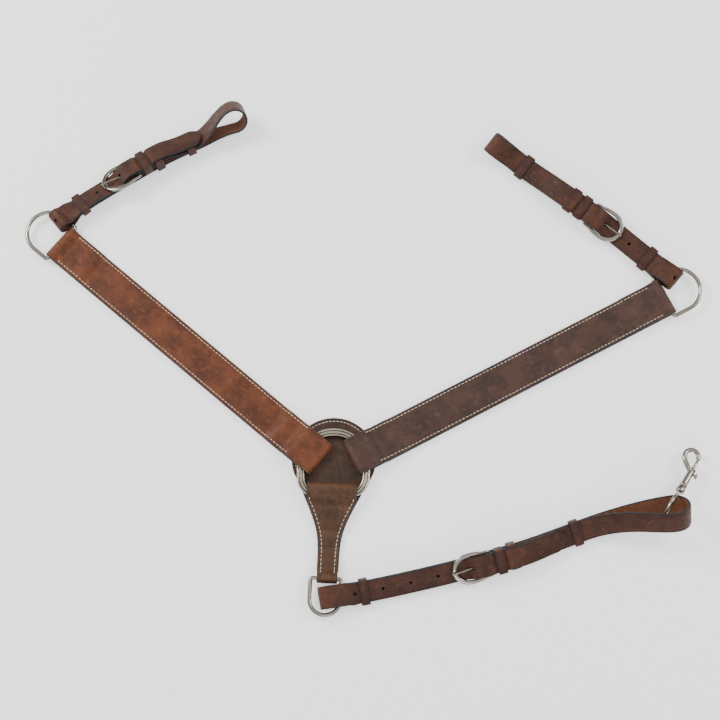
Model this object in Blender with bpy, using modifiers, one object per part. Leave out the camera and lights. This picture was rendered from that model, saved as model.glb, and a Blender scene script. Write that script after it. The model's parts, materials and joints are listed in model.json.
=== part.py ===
"""Western breastplate (breast collar) for a riding horse.

It lies flat as it does on a bench: the backing's underside is the plane z = 0 and the centre ring's
middle is the origin. +X is the wearer's right-hand strap, +Y runs up between the shoulder straps.
Leather strips are open ribbons that follow a side profile (u along the strap, h above its underside)
and are thickened with Solidify. Metres throughout.
"""
import math

import bmesh
import bpy
from mathutils import Matrix, Vector

MM = 0.001
GAP = 0.3 * MM

# Leather
HIDE = 3.3 * MM                 # backing, drop and shoulder straps, each layer
SHOULDER_WIDTH = 52 * MM
SHOULDER_FLAP = 62 * MM         # how far a folded end runs back under the strap
TUG_WIDTH = 30 * MM
TUG_HIDE = 3.0 * MM
KEEPER_WIDTH = 12 * MM
KEEPER_HIDE = 2.2 * MM
TIP_LENGTH = 13 * MM
TIP_HALF = 5 * MM
HOLE_RADIUS = 2.0 * MM

# Centre ring, a flat band: round at the top, straight down the sides, flat at the bottom
RING_RADIUS = 44 * MM           # centre line of the band
RING_BAND = 10 * MM
RING_BAR_BAND = 5 * MM          # the band is narrower where the drop strap hides it
RING_THICK = 4.5 * MM
RING_SIDE = 18 * MM             # straight side below the middle
RING_CORNER = 23 * MM

# Backing and drop strap
BULB_RADIUS = 57 * MM
BULB_CENTRE_Y = 8.5 * MM
BULB_SLOPE = math.radians(26)   # the sides' lean from upright below the round
NECK_HALF = 14.5 * MM
NECK_Y = -98 * MM
DROP_HALF = 34 * MM             # at the fold over the ring
DROP_TOP_Y = -25.5 * MM
DROP_END_Y = -161 * MM
DROP_LEAN = math.radians(-3.0)

# Dees
WIRE = 2.9 * MM                 # radius of the shoulder dees' wire
DEE_HALF = 30.0 * MM
DEE_SIDE = 24 * MM
DEE_CORNER = 3.6 * MM
DEE_SHIFT = 0.4 * MM
DROP_WIRE = 2.9 * MM
DROP_DEE_HALF = 20.5 * MM
DROP_DEE_SIDE = 28 * MM

# Buckles, measured from the heel bar towards the curved end
BAR_RADIUS = 1.7 * MM
FRAME_LENGTH = 52 * MM
FRAME_HALF = 18.9 * MM
TONGUE_WIRE = 1.25 * MM
TONGUE_HOLE = 26 * MM

# Heights of the layers, to their middles
FLAP_Z = HIDE + GAP + HIDE / 2
OVER_FLAP_Z = FLAP_Z + HIDE + GAP
RING_Z = FLAP_Z + HIDE / 2 + 1.2 * MM + RING_THICK / 2
OVER_RING_Z = RING_Z + RING_THICK / 2 + GAP + HIDE / 2
DROP_OVER_RING_Z = OVER_RING_Z + 1.0 * MM
BAR_Z = FLAP_Z + HIDE / 2 + GAP + WIRE
OVER_BAR_Z = BAR_Z + WIRE + GAP + HIDE / 2
TUG_BACK_H = TUG_HIDE / 2                       # the returning strand
TUG_FRONT_H = TUG_BACK_H + TUG_HIDE + GAP       # a strand lying on it
HEEL_BAR_H = 9.15 * MM
CHAPE_LOW_H = 7.5 * MM
CHAPE_HIGH_H = CHAPE_LOW_H + TUG_HIDE + GAP
BILLET_BAR_H = 16.2 * MM
BILLET_KEEPER_H = CHAPE_HIGH_H + TUG_HIDE + GAP
BILLET_B2_H = 16.8 * MM
BILLET_TIP_H = TUG_FRONT_H + TUG_HIDE + 2 * GAP
BILLET_OVER_C_H = 11.2 * MM
OVER_WIRE_H = 15.2 * MM
DEE_LOOP_RADIUS = 9.5 * MM

# The two shoulder straps: direction, the folded end's distance from the ring's middle, side offset
SHOULDERS = {
    "left": {"angle": math.radians(139.7), "inner": 15.4 * MM, "offset": 7.0 * MM, "side": 1,
             "length": 480 * MM},
    "right": {"angle": math.radians(27.7), "inner": 24.0 * MM, "offset": -4.1 * MM, "side": -1,
              "length": 492 * MM},
}

# The three buckled straps. The axis is where the returning strand lies, from the dee to the loop;
# roll is the lean at the dee, along the buckle and at the loop. Distances run from the dee's fold.
TUGS = {
    "left_tug": {
        "axis": [(-387.5, 337.0), (-345.5, 370.0), (-291.5, 405.0), (-236.0, 438.0),
                 (-177.0, 466.0), (-110.0, 487.0)],
        "roll": (5, 24, 42), "wire": 20, "keeper_a": 46, "bar": 137, "keeper_c": 218, "tip": 238,
        "length": 307, "loop_height": 37, "rise": 0, "holes": (73.5,),
    },
    "right_tug": {
        "axis": [(473.0, 255.5), (428.0, 294.0), (363.0, 350.0), (300.0, 398.0),
                 (262.0, 426.5), (216.0, 467.0)],
        "roll": (5, 16, 25), "wire": 29, "keeper_a": 52, "bar": 152, "keeper_c": 266, "tip": 253,
        "length": 326, "loop_height": 22, "rise": 0, "holes": (84,),
    },
    "girth_strap": {
        "axis": [(-19.0, -180.5), (50.5, -168.8), (131.5, -150.9), (191.2, -135.4),
                 (265.6, -113.0), (358.8, -79.5), (425.0, -60.5), (482.0, -51.0)],
        "roll": (-5, -26, -44), "wire": 37, "keeper_a": 61, "bar": 232, "keeper_c": 354, "tip": 341,
        "length": 508, "loop_height": 45, "rise": 6.5, "holes": (161, 123.5, 86, 48.5),
    },
}
STRAND_LIFT = 3.3 * MM          # room for the keepers under a strap
DEE_LIFT = 0.5 * MM

# Swivel snap, measured along its own axis from the middle of the eye
EYE_RADIUS = 22.0 * MM
EYE_WIRE = 2.2 * MM
EYE_BACK = 1.0 * MM             # how far behind the loop's end bend the eye hangs
EYE_IN = 5.0 * MM               # the eye's middle, in from the strand it hangs on
SNAP_DIRECTION = Vector((0.530, 0.832, -0.165)).normalized()
SWIVEL_STEM = 2.0 * MM
BARREL_RADIUS = 4.8 * MM
BORE_RADIUS = 2.1 * MM
BOLT_RADIUS = 1.8 * MM
KNOB_RADIUS = 4.2 * MM
HOOK_WIRE = 3.3 * MM
HOOK_RADIUS = 9.4 * MM
HOOK_MIDDLE = -10.0 * MM         # across the snap, to the side away from the knob


def clear_scene():
    for item in list(bpy.data.objects):
        bpy.data.objects.remove(item, do_unlink=True)


def new_collection(name):
    collection = bpy.data.collections.new(name)
    bpy.context.scene.collection.children.link(collection)
    return collection


def make_material(name, colour, roughness, metallic):
    material = bpy.data.materials.new(name)
    material.use_nodes = True
    shader = material.node_tree.nodes["Principled BSDF"]
    shader.inputs["Base Color"].default_value = (*colour, 1)
    shader.inputs["Roughness"].default_value = roughness
    shader.inputs["Metallic"].default_value = metallic
    return material


def smooth(t):
    t = min(max(t, 0.0), 1.0)
    return t * t * (3 - 2 * t)


def between(stations, u):
    """Value at u of a smooth step through (u, value) stations in rising order."""
    if u <= stations[0][0]:
        return stations[0][1]
    for (u0, a), (u1, b) in zip(stations, stations[1:]):
        if u <= u1:
            return a + (b - a) * smooth((u - u0) / (u1 - u0))
    return stations[-1][1]


def strand(stations, steps=7):
    """Side profile through (u, h) stations, with a smooth step wherever the height changes."""
    points = [stations[0]]
    for (u0, h0), (u1, h1) in zip(stations, stations[1:]):
        parts = steps if abs(h1 - h0) > GAP else max(1, round(abs(u1 - u0) / (30 * MM)))
        for i in range(1, parts + 1):
            t = i / parts
            points.append((u0 + (u1 - u0) * t, h0 + (h1 - h0) * smooth(t)))
    return points


def half_turn(u, h_from, h_to, end, steps=8):
    """A fold's half circle between two heights; end is +1 or -1, the way it bulges along u."""
    middle = (h_from + h_to) / 2
    radius = (h_from - h_to) / 2
    points = []
    for i in range(1, steps):
        angle = math.pi * i / steps
        points.append((u + end * abs(radius) * math.sin(angle), middle + radius * math.cos(angle)))
    return points


class Lay:
    """Where a strap lies: a plan curve, a lean about it and a lift off the ground."""

    def __init__(self, axis, roll=((0, 0),), lift=((0, 0),), half=0.0):
        self.points = self.curve([Vector((x, y, 0)) for x, y in axis])
        self.roll = roll
        self.lift = lift
        self.half = half
        self.lengths = [0.0]
        for a, b in zip(self.points, self.points[1:]):
            self.lengths.append(self.lengths[-1] + (b - a).length)

    @staticmethod
    def curve(controls, steps=12):
        """Catmull-Rom curve through the control points."""
        if len(controls) == 2:
            return controls
        first = controls[0] * 2 - controls[1]
        last = controls[-1] * 2 - controls[-2]
        padded = [first] + controls + [last]
        points = []
        for p0, p1, p2, p3 in zip(padded, padded[1:], padded[2:], padded[3:]):
            for i in range(steps):
                t = i / steps
                tangent_part = (p2 - p0) * t + (p0 * 2 - p1 * 5 + p2 * 4 - p3) * t ** 2
                points.append(p1 + (tangent_part + (p1 * 3 - p0 - p2 * 3 + p3) * t ** 3) / 2)
        points.append(controls[-1])
        return points

    def at(self, u):
        """Point and unit direction of the axis, run on straight past either end."""
        i = 0
        while i < len(self.points) - 2 and self.lengths[i + 1] < u:
            i += 1
        step = (self.points[i + 1] - self.points[i]).normalized()
        return self.points[i] + step * (u - self.lengths[i]), step

    def direction(self, u):
        """Direction of the axis, averaged so that it turns evenly."""
        reach = 9 * MM
        return (self.at(u + reach)[0] - self.at(u - reach)[0]).normalized()

    def basis(self, u):
        """Origin, along, across and up vectors of the strap's section at u."""
        along = self.direction(u)
        side = Vector((-along.y, along.x, 0))
        roll = math.radians(between(self.roll, u))
        up = Vector((0, 0, math.cos(roll))) + side * math.sin(roll)
        across = side * math.cos(roll) - Vector((0, 0, math.sin(roll)))
        height = between(self.lift, u) + abs(math.sin(roll)) * self.half
        return self.at(u)[0] + Vector((0, 0, height)), along, across, up

    def place(self, u, h, v):
        origin, _, across, up = self.basis(u)
        return origin + up * h + across * v

    def matrix(self, u):
        """Rigid frame at u: X along the strap, Y across, Z up off its face."""
        origin, along, across, up = self.basis(u)
        matrix = Matrix((along, across, up)).transposed().to_4x4()
        matrix.translation = origin
        return matrix


def mesh_object(name, verts, faces, material, collection):
    mesh = bpy.data.meshes.new(name)
    mesh.from_pydata([tuple(v) for v in verts], [], faces)
    mesh.update()
    item = bpy.data.objects.new(name, mesh)
    collection.objects.link(item)
    if material:
        mesh.materials.append(material)
    return item


def thicken(item, thickness):
    solid = item.modifiers.new("Leather thickness", "SOLIDIFY")
    solid.thickness = thickness
    solid.offset = 0
    solid.use_even_offset = True


def ribbon(name, path, half_width, lay, thickness, material, columns=(-1, 1)):
    """Leather strip along a side profile; half_width is a function of the point's number."""
    verts = []
    for i, (u, h) in enumerate(path):
        half = half_width(i)
        verts += [lay.place(u, h, half * c) for c in columns]
    n = len(columns)
    faces = []
    for row in range(len(path) - 1):
        for c in range(n - 1):
            a = row * n + c
            faces.append((a, a + 1, a + n + 1, a + n))
    item = mesh_object(name, verts, faces, material, PARTS)
    thicken(item, thickness)
    return item


def keeper(name, lay, u, low, high, clearance, material):
    """Leather keeper: a band round the layers from low to high, 12 mm along the strap."""
    margin = clearance + KEEPER_HIDE / 2
    v = TUG_WIDTH / 2 + margin
    bottom = low - margin
    top = high + margin
    corner = KEEPER_HIDE / 2 + 0.5 * MM
    section = []
    centres = [(v - corner, top - corner, 0), (-v + corner, top - corner, 90),
               (-v + corner, bottom + corner, 180), (v - corner, bottom + corner, 270)]
    for cv, ch, start in centres:
        for step in range(4):
            angle = math.radians(start + 30 * step)
            section.append((cv + corner * math.cos(angle), ch + corner * math.sin(angle)))
    columns = (-KEEPER_WIDTH / 2, 0, KEEPER_WIDTH / 2)
    verts = [lay.place(u + du, h, w) for du in columns for w, h in section]
    count = len(section)
    faces = []
    for row in range(len(columns) - 1):
        for i in range(count):
            j = (i + 1) % count
            faces.append((row * count + i, row * count + j,
                          (row + 1) * count + j, (row + 1) * count + i))
    item = mesh_object(name, verts, faces, material, PARTS)
    thicken(item, KEEPER_HIDE)
    return item


def sweep(name, points, sections, normal, material, closed=True, sides=8, matrix=None):
    """Loft of flattened round sections along a path that lies across normal.

    sections gives each point's half width in the path's plane and half height along normal.
    """
    verts = []
    count = len(points)
    for i, point in enumerate(points):
        before = points[(i - 1) % count] if closed or i else point
        after = points[(i + 1) % count] if closed or i < count - 1 else point
        outward = (after - before).normalized().cross(normal)
        half_width, half_height = sections[i]
        for s in range(sides):
            angle = 2 * math.pi * (s + 0.5) / sides
            verts.append(point + outward * half_width * math.cos(angle)
                         + normal * half_height * math.sin(angle))
    faces = []
    for i in range(count if closed else count - 1):
        for s in range(sides):
            t = (s + 1) % sides
            a = i * sides
            b = (i + 1) % count * sides
            faces.append((a + s, a + t, b + t, b + s))
    if not closed:
        faces.append(tuple(range(sides))[::-1])
        faces.append(tuple((count - 1) * sides + s for s in range(sides)))
    if matrix:
        verts = [matrix @ v for v in verts]
    item = mesh_object(name, verts, faces, material, PARTS)
    face_outward(item)
    return item


def face_outward(item):
    mesh = bmesh.new()
    mesh.from_mesh(item.data)
    bmesh.ops.recalc_face_normals(mesh, faces=mesh.faces)
    mesh.to_mesh(item.data)
    mesh.free()


def cylinder(name, radius, length, matrix, collection, material=None, sides=16, tip=None):
    """Closed cylinder along the matrix's Z, from its origin to length."""
    mesh = bmesh.new()
    bmesh.ops.create_cone(mesh, cap_ends=True, segments=sides, radius1=radius,
                          radius2=radius if tip is None else tip, depth=length,
                          matrix=matrix @ Matrix.Translation((0, 0, length / 2)))
    data = bpy.data.meshes.new(name)
    mesh.to_mesh(data)
    mesh.free()
    item = bpy.data.objects.new(name, data)
    collection.objects.link(item)
    if material:
        data.materials.append(material)
    return item


def box(name, size, matrix):
    """Closed box cutter centred on the matrix."""
    mesh = bmesh.new()
    bmesh.ops.create_cube(mesh, size=1, matrix=matrix @ Matrix.Diagonal((*size, 1)))
    data = bpy.data.meshes.new(name)
    mesh.to_mesh(data)
    mesh.free()
    item = bpy.data.objects.new(name, data)
    CUTTERS.objects.link(item)
    return item


def combine(item, other, operation="DIFFERENCE"):
    """Cut other out of item, or union it in; other becomes a hidden guide."""
    boolean = item.modifiers.new(other.name, "BOOLEAN")
    boolean.operation = operation
    boolean.object = other
    other.hide_render = True
    other.display_type = "WIRE"
    if other.name not in CUTTERS.objects:
        CUTTERS.objects.link(other)
        PARTS.objects.unlink(other)


def set_origin(item, point):
    """Move an object's origin to a point, such as its joint's axis, leaving its shape in place."""
    item.data.transform(Matrix.Translation(-point))
    item.location = point


def bulb_half(y):
    """Half width of the backing at height y in the drop's own direction."""
    tangent_y = BULB_CENTRE_Y - BULB_RADIUS * math.sin(BULB_SLOPE)
    if y > tangent_y:
        return math.sqrt(max(BULB_RADIUS ** 2 - (y - BULB_CENTRE_Y) ** 2, 0))
    tangent_half = BULB_RADIUS * math.cos(BULB_SLOPE)
    straight = tangent_half - (tangent_y - y) * math.tan(BULB_SLOPE)
    soften = 5 * MM
    return NECK_HALF + soften * math.log1p(math.exp((straight - NECK_HALF) / soften)) * 0.97


def make_backing():
    """Light-bulb shaped backing behind the ring and the drop, cut from one hide."""
    right = []
    top_steps = 14
    tangent_y = BULB_CENTRE_Y - BULB_RADIUS * math.sin(BULB_SLOPE)
    for i in range(top_steps + 1):
        angle = math.radians(90) - (math.radians(90) + BULB_SLOPE) * i / top_steps
        right.append((BULB_RADIUS * math.cos(angle), BULB_CENTRE_Y + BULB_RADIUS * math.sin(angle)))
    low_steps = 9
    for i in range(1, low_steps + 1):
        y = tangent_y + (NECK_Y - 8 * MM - tangent_y) * i / low_steps
        right.append((bulb_half(y), y))
    end_y = DROP_END_Y + 16 * MM
    right.append((NECK_HALF, end_y))
    left = [(-x, y) for x, y in reversed(right) if x > MM]
    outline = right + left
    lean = Matrix.Rotation(DROP_LEAN, 4, "Z")
    verts = [lean @ Vector((x, y, HIDE / 2)) for x, y in outline]
    item = mesh_object("center_backing", verts, [tuple(range(len(verts)))], BACKING_LEATHER, PARTS)
    thicken(item, HIDE)


def drop_half(y):
    return min(DROP_HALF, bulb_half(y) - 0.8 * MM)


def make_drop():
    """Front drop strap: folded over the ring's bottom bar above and round the small dee below."""
    top = -DROP_TOP_Y
    end = -DROP_END_Y
    fold_in = (DROP_OVER_RING_Z - FLAP_Z) / 2
    fold_out = (OVER_BAR_Z - FLAP_Z) / 2
    first = top + fold_in + HIDE / 2
    last = end - fold_out - HIDE / 2
    path = strand([(first + 46 * MM, FLAP_Z), (first, FLAP_Z)])
    path += half_turn(first, FLAP_Z, DROP_OVER_RING_Z, -1)
    path += strand([(first, DROP_OVER_RING_Z), (first + 12 * MM, DROP_OVER_RING_Z),
                    (first + 26 * MM, OVER_FLAP_Z), (first + 47 * MM, OVER_FLAP_Z),
                    (first + 60 * MM, FLAP_Z), (last - 38 * MM, FLAP_Z),
                    (last - 25 * MM, OVER_FLAP_Z), (last - 14 * MM, OVER_FLAP_Z),
                    (last, OVER_BAR_Z)], steps=5)
    path += half_turn(last, OVER_BAR_Z, FLAP_Z, 1)
    path += strand([(last, FLAP_Z), (last - 24 * MM, FLAP_Z)])
    lean = Matrix.Rotation(DROP_LEAN, 4, "Z")
    foot = lean @ Vector((0, DROP_END_Y, 0))
    lay = Lay([(0, 0), (foot.x, foot.y)])
    ribbon("drop_front", path, lambda i: drop_half(-path[i][0]), lay, HIDE, DROP_LEATHER)


def make_ring():
    """Flat band ring; the band narrows along the bottom bar."""
    points = []
    halves = []
    for i in range(17):
        angle = math.pi * i / 16
        points.append(Vector((RING_RADIUS * math.cos(angle), RING_RADIUS * math.sin(angle), RING_Z)))
        halves.append(RING_BAND / 2)
    corner_x = RING_RADIUS - RING_CORNER
    for side, start in ((-1, 180), (1, 270)):
        for i in range(7):
            angle = math.radians(start + 15 * i)
            points.append(Vector((side * corner_x + RING_CORNER * math.cos(angle),
                                  -RING_SIDE + RING_CORNER * math.sin(angle), RING_Z)))
            narrow = between(((24 * MM, RING_BAR_BAND / 2), (33 * MM, RING_BAND / 2)),
                             abs(points[-1].x))
            halves.append(narrow)
    sections = [(half / math.cos(math.pi / 8), RING_THICK / 2 / math.cos(math.pi / 8))
                for half in halves]
    ring = sweep("center_ring", points, sections, Vector((0, 0, 1)), RING_METAL)
    set_origin(ring, Vector((0, -(RING_SIDE + RING_CORNER), RING_Z)))


def shoulder_frame(name):
    """Plan start and unit direction of a shoulder strap's axis."""
    shoulder = SHOULDERS[name]
    along = Vector((math.cos(shoulder["angle"]), math.sin(shoulder["angle"]), 0))
    side = Vector((-along.y, along.x, 0))
    return along * shoulder["inner"] + side * shoulder["offset"], along


def make_shoulder(name):
    """Shoulder strap: an outer strap folded at both ends, on a lining."""
    start, along = shoulder_frame(name)
    far = start + along * SHOULDERS[name]["length"]
    lay = Lay([(start.x, start.y), (far.x, far.y)])
    first = (OVER_RING_Z - FLAP_Z) / 2 + HIDE / 2
    last = SHOULDERS[name]["length"] - (OVER_BAR_Z - FLAP_Z) / 2 - HIDE / 2
    band_end = RING_RADIUS + RING_BAND / 2 - SHOULDERS[name]["inner"] + 4 * MM
    flap_in = band_end + 30 * MM
    path = strand([(flap_in, FLAP_Z), (first, FLAP_Z)])
    path += half_turn(first, FLAP_Z, OVER_RING_Z, -1)
    path += strand([(first, OVER_RING_Z), (band_end, OVER_RING_Z), (band_end + 16 * MM, OVER_FLAP_Z),
                    (flap_in + 2 * MM, OVER_FLAP_Z), (flap_in + 16 * MM, FLAP_Z),
                    (last - SHOULDER_FLAP, FLAP_Z), (last - SHOULDER_FLAP + 14 * MM, OVER_FLAP_Z),
                    (last - 16 * MM, OVER_FLAP_Z), (last, OVER_BAR_Z)], steps=5)
    path += half_turn(last, OVER_BAR_Z, FLAP_Z, 1)
    path += strand([(last, FLAP_Z), (last - SHOULDER_FLAP + 16 * MM, FLAP_Z)])
    half = SHOULDER_WIDTH / 2
    outer = ribbon(name + "_shoulder_outer", path, lambda i: half, lay, HIDE, LEATHERS[name])
    set_origin(outer, Vector((0, 0, RING_Z)))
    lining_start = BULB_RADIUS + BULB_CENTRE_Y + 1 * MM - SHOULDERS[name]["inner"]
    lining = [(lining_start, HIDE / 2), (last - 1 * MM, HIDE / 2)]
    under = ribbon(name + "_shoulder_lining", lining, lambda i: half, lay, HIDE, LINING_LEATHER)
    set_origin(under, Vector((0, 0, RING_Z)))


def dee_points(half, side):
    """Centre line of a dee in its own plane: bar on the X axis, bow towards +Y."""
    corner = DEE_CORNER
    straight = half - corner
    points = [Vector((x * straight, 0, 0)) for x in (-1, -0.5, 0, 0.5, 1)]
    for i in range(1, 4):
        angle = math.radians(-90 + 30 * i)
        points.append(Vector((half - corner + corner * math.cos(angle),
                              corner + corner * math.sin(angle), 0)))
    for i in range(13):
        angle = math.pi * i / 12
        points.append(Vector((half * math.cos(angle), side + half * math.sin(angle), 0)))
    points += [Vector((-p.x, p.y, 0)) for p in reversed(points[5:8])]
    return points


def make_dee(name, bar_middle, along, half, side, wire, shift):
    """Wire dee whose bar sits in a strap's fold; along points from the bar to the bow."""
    across = Vector((along.y, -along.x, 0))
    matrix = Matrix((across, along, Vector((0, 0, 1)))).transposed().to_4x4()
    matrix.translation = bar_middle + across * shift
    points = dee_points(half, side)
    round_up = 1 / math.cos(math.pi / 10)
    sections = [(wire * round_up, wire * round_up)] * len(points)
    dee = sweep(name, points, sections, Vector((0, 0, 1)), METAL, sides=10, matrix=matrix)
    set_origin(dee, bar_middle)


def tug_stations(tug):
    """The lay of a buckled strap, its lean and lift in metres along it."""
    at_dee, at_buckle, at_loop = tug["roll"]
    keeper_a = tug["keeper_a"] * MM
    keeper_c = tug["keeper_c"] * MM
    length = tug["length"] * MM
    wire = tug["wire"] * MM
    roll = ((0, at_dee), (wire, at_dee), (keeper_a - 7 * MM, at_buckle),
            (keeper_c + 10 * MM, at_buckle), (length - 25 * MM, at_loop))
    lift = ((0, DEE_LIFT), (wire, DEE_LIFT), (keeper_a - 7 * MM, STRAND_LIFT),
            (keeper_c + 10 * MM, STRAND_LIFT), (length - 45 * MM, STRAND_LIFT + tug["rise"] * MM))
    axis = [(x * MM, y * MM) for x, y in tug["axis"]]
    return Lay(axis, roll, lift, TUG_WIDTH / 2)


def tug_path(tug):
    """Side profile of a buckled strap, from its tip round the dee and the loop to its chape's end."""
    a = tug["keeper_a"] * MM
    bar = tug["bar"] * MM
    c = tug["keeper_c"] * MM
    tip = tug["tip"] * MM
    wire = tug["wire"] * MM
    dee_u = DEE_LOOP_RADIUS + TUG_HIDE / 2
    dee_top = TUG_BACK_H + 2 * DEE_LOOP_RADIUS
    loop_top = tug["loop_height"] * MM - TUG_HIDE / 2
    loop_u = tug["length"] * MM - (loop_top - TUG_BACK_H) / 2 - TUG_HIDE / 2
    chape_radius = BAR_RADIUS + GAP + TUG_HIDE / 2
    tip_h = BILLET_OVER_C_H if tip > c else BILLET_TIP_H
    tip_end = [(tip, tip_h), (tip - TIP_LENGTH, tip_h)]
    if tip > c:
        tip_end.append((c - 8 * MM, tip_h))
    path = strand(tip_end + [
        (bar + 39 * MM, BILLET_B2_H), (bar + 25.5 * MM, BILLET_B2_H),
        (bar + 20.5 * MM, BILLET_KEEPER_H), (bar + 6.5 * MM, BILLET_KEEPER_H),
        (bar + 1 * MM, BILLET_BAR_H), (bar - 14 * MM, BILLET_BAR_H),
        (bar - 37.5 * MM, TUG_FRONT_H), (a - 8 * MM, TUG_FRONT_H), (wire, OVER_WIRE_H),
        (dee_u, dee_top)])
    path += half_turn(dee_u, dee_top, TUG_BACK_H, -1, steps=10)
    path += strand([(dee_u, TUG_BACK_H), (wire, TUG_BACK_H), ((wire + a) / 2, TUG_BACK_H),
                    (a - 7 * MM, TUG_BACK_H), (loop_u, TUG_BACK_H)])
    path += half_turn(loop_u, TUG_BACK_H, loop_top, 1, steps=12)
    path += strand([(loop_u, loop_top), (c + 11 * MM, TUG_FRONT_H), (c - 13 * MM, TUG_FRONT_H),
                    (bar + 43 * MM, CHAPE_HIGH_H), (bar + 6 * MM, CHAPE_HIGH_H),
                    (bar, HEEL_BAR_H + chape_radius)])
    path += half_turn(bar, HEEL_BAR_H + chape_radius, HEEL_BAR_H - chape_radius, -1, steps=8)
    path += strand([(bar, HEEL_BAR_H - chape_radius), (bar + 6 * MM, CHAPE_LOW_H),
                    (bar + 42 * MM, CHAPE_LOW_H)])
    return path


def make_tug(name, tug):
    """Buckled strap: one continuous strip with its tip, holes and tongue slots cut."""
    lay = tug_stations(tug)
    path = tug_path(tug)
    half = TUG_WIDTH / 2

    def half_width(i):
        return TIP_HALF if i == 0 else half

    strap = ribbon(name, path, half_width, lay, TUG_HIDE, TUG_LEATHER, (-1, 0, 1))
    bar = tug["bar"] * MM
    slot = lay.matrix(bar)
    combine(strap, box(name + "_chape_slot", (13 * MM, 3.8 * MM, 11.2 * MM),
                       slot @ Matrix.Translation((0.5 * MM, 0, 8.8 * MM))))
    combine(strap, box(name + "_tongue_slot", (14 * MM, 3.8 * MM, 12 * MM),
                       slot @ Matrix.Translation((-TONGUE_HOLE, 0, 9.5 * MM))))
    for i, u in enumerate(tug["holes"]):
        matrix = lay.matrix(u * MM) @ Matrix.Translation((0, 0, TUG_HIDE + GAP / 2))
        combine(strap, cylinder(f"{name}_hole_{i}", HOLE_RADIUS, 12 * MM, matrix, CUTTERS, sides=10))
    return lay


def frame_outline():
    """Buckle frame's centre line: heel bar, two legs that step out to the arms, and the bow."""
    half_bar = TUG_WIDTH / 2 + 2.0 * MM
    bow_start = 27 * MM
    bow = FRAME_LENGTH - 3.0 * MM - bow_start
    arm = [(0, half_bar - 1.5 * MM, 1.0), (1.2 * MM, half_bar - 0.3 * MM, 1.0),
           (4 * MM, half_bar, 1.0), (10 * MM, half_bar + 0.3 * MM, 1.1),
           (14 * MM, half_bar + 1.0 * MM, 1.45), (20 * MM, FRAME_HALF - 0.1 * MM, 1.55)]
    points = [Vector((0, 0, 0))] + [Vector((-u, v, 0)) for u, v, _ in arm]
    widths = [1.0] + [w for _, _, w in arm]
    for i in range(13):
        angle = math.pi * i / 12
        points.append(Vector((-bow_start - bow * math.sin(angle), FRAME_HALF * math.cos(angle), 0)))
        widths.append(1.65 + 0.3 * math.sin(angle))
    points += [Vector((-u, -v, 0)) for u, v, _ in reversed(arm)]
    widths += [w for _, _, w in reversed(arm)]
    sections = [(BAR_RADIUS * w, BAR_RADIUS * min(w, 1.3)) for w in widths]
    return points, sections


def make_buckle(name, lay, tug):
    """Horseshoe buckle frame and its wire tongue, curled round the heel bar."""
    bar = lay.matrix(tug["bar"] * MM) @ Matrix.Translation((0, 0, HEEL_BAR_H))
    points, sections = frame_outline()
    frame = sweep(name + "_buckle_frame", points, sections, Vector((0, 0, 1)), METAL, matrix=bar)
    set_origin(frame, bar.translation)
    curl = BAR_RADIUS + 1.6 * GAP + TONGUE_WIRE
    path = []
    for i in range(9):
        angle = math.radians(110 - 200 * i / 8)
        path.append(Vector((curl * math.cos(angle), 0, curl * math.sin(angle))))
    rest = 4.0 * MM
    path += [Vector((-14 * MM, 0, -1.2 * MM)), Vector((-32 * MM, 0, 1.6 * MM)),
             Vector((-44 * MM, 0, rest)), Vector((-FRAME_LENGTH - 0.5 * MM, 0, rest + 0.1 * MM))]
    sections = [(TONGUE_WIRE, TONGUE_WIRE)] * (len(path) - 1) + [(0.9 * MM, 0.8 * MM)]
    tongue = sweep(name + "_buckle_tongue", path, sections, Vector((0, 1, 0)), METAL, closed=False,
                   matrix=bar)
    set_origin(tongue, bar.translation)


def make_keepers(name, lay, tug):
    """Two loose keepers and the two fixed ones beside the buckle."""
    bar = tug["bar"] * MM
    loose = 0.8 * MM
    fixed = 0.5 * MM
    pair_top = TUG_FRONT_H + TUG_HIDE / 2
    keeper(name + "_keeper_a", lay, tug["keeper_a"] * MM, 0, pair_top, loose, KEEPER_LEATHER)
    keeper(name + "_keeper_b", lay, bar + 13.5 * MM, CHAPE_LOW_H - TUG_HIDE / 2,
           BILLET_KEEPER_H + TUG_HIDE / 2, fixed, KEEPER_LEATHER)
    keeper(name + "_keeper_b2", lay, bar + 32 * MM, 0, CHAPE_HIGH_H + TUG_HIDE / 2, fixed,
           KEEPER_LEATHER)
    keeper(name + "_keeper_c", lay, tug["keeper_c"] * MM, 0, pair_top, loose, KEEPER_LEATHER)


def snap_frame(lay, tug):
    """Frame of the snap: Z along it from the eye's middle, X across the flat of its hook."""
    loop_top = tug["loop_height"] * MM - TUG_HIDE / 2
    radius = (loop_top - TUG_BACK_H) / 2
    eye_u = tug["length"] * MM - radius - TUG_HIDE / 2 - EYE_BACK
    _, along, _, _ = lay.basis(eye_u)
    z = SNAP_DIRECTION
    x = Vector((z.y, -z.x, 0)).normalized()
    y = z.cross(x)
    matrix = Matrix((x, y, z)).transposed().to_4x4()
    matrix.translation = lay.place(eye_u, TUG_BACK_H + EYE_IN, 0)
    facing = (along - z * along.dot(z)).normalized()
    return matrix, facing


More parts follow.
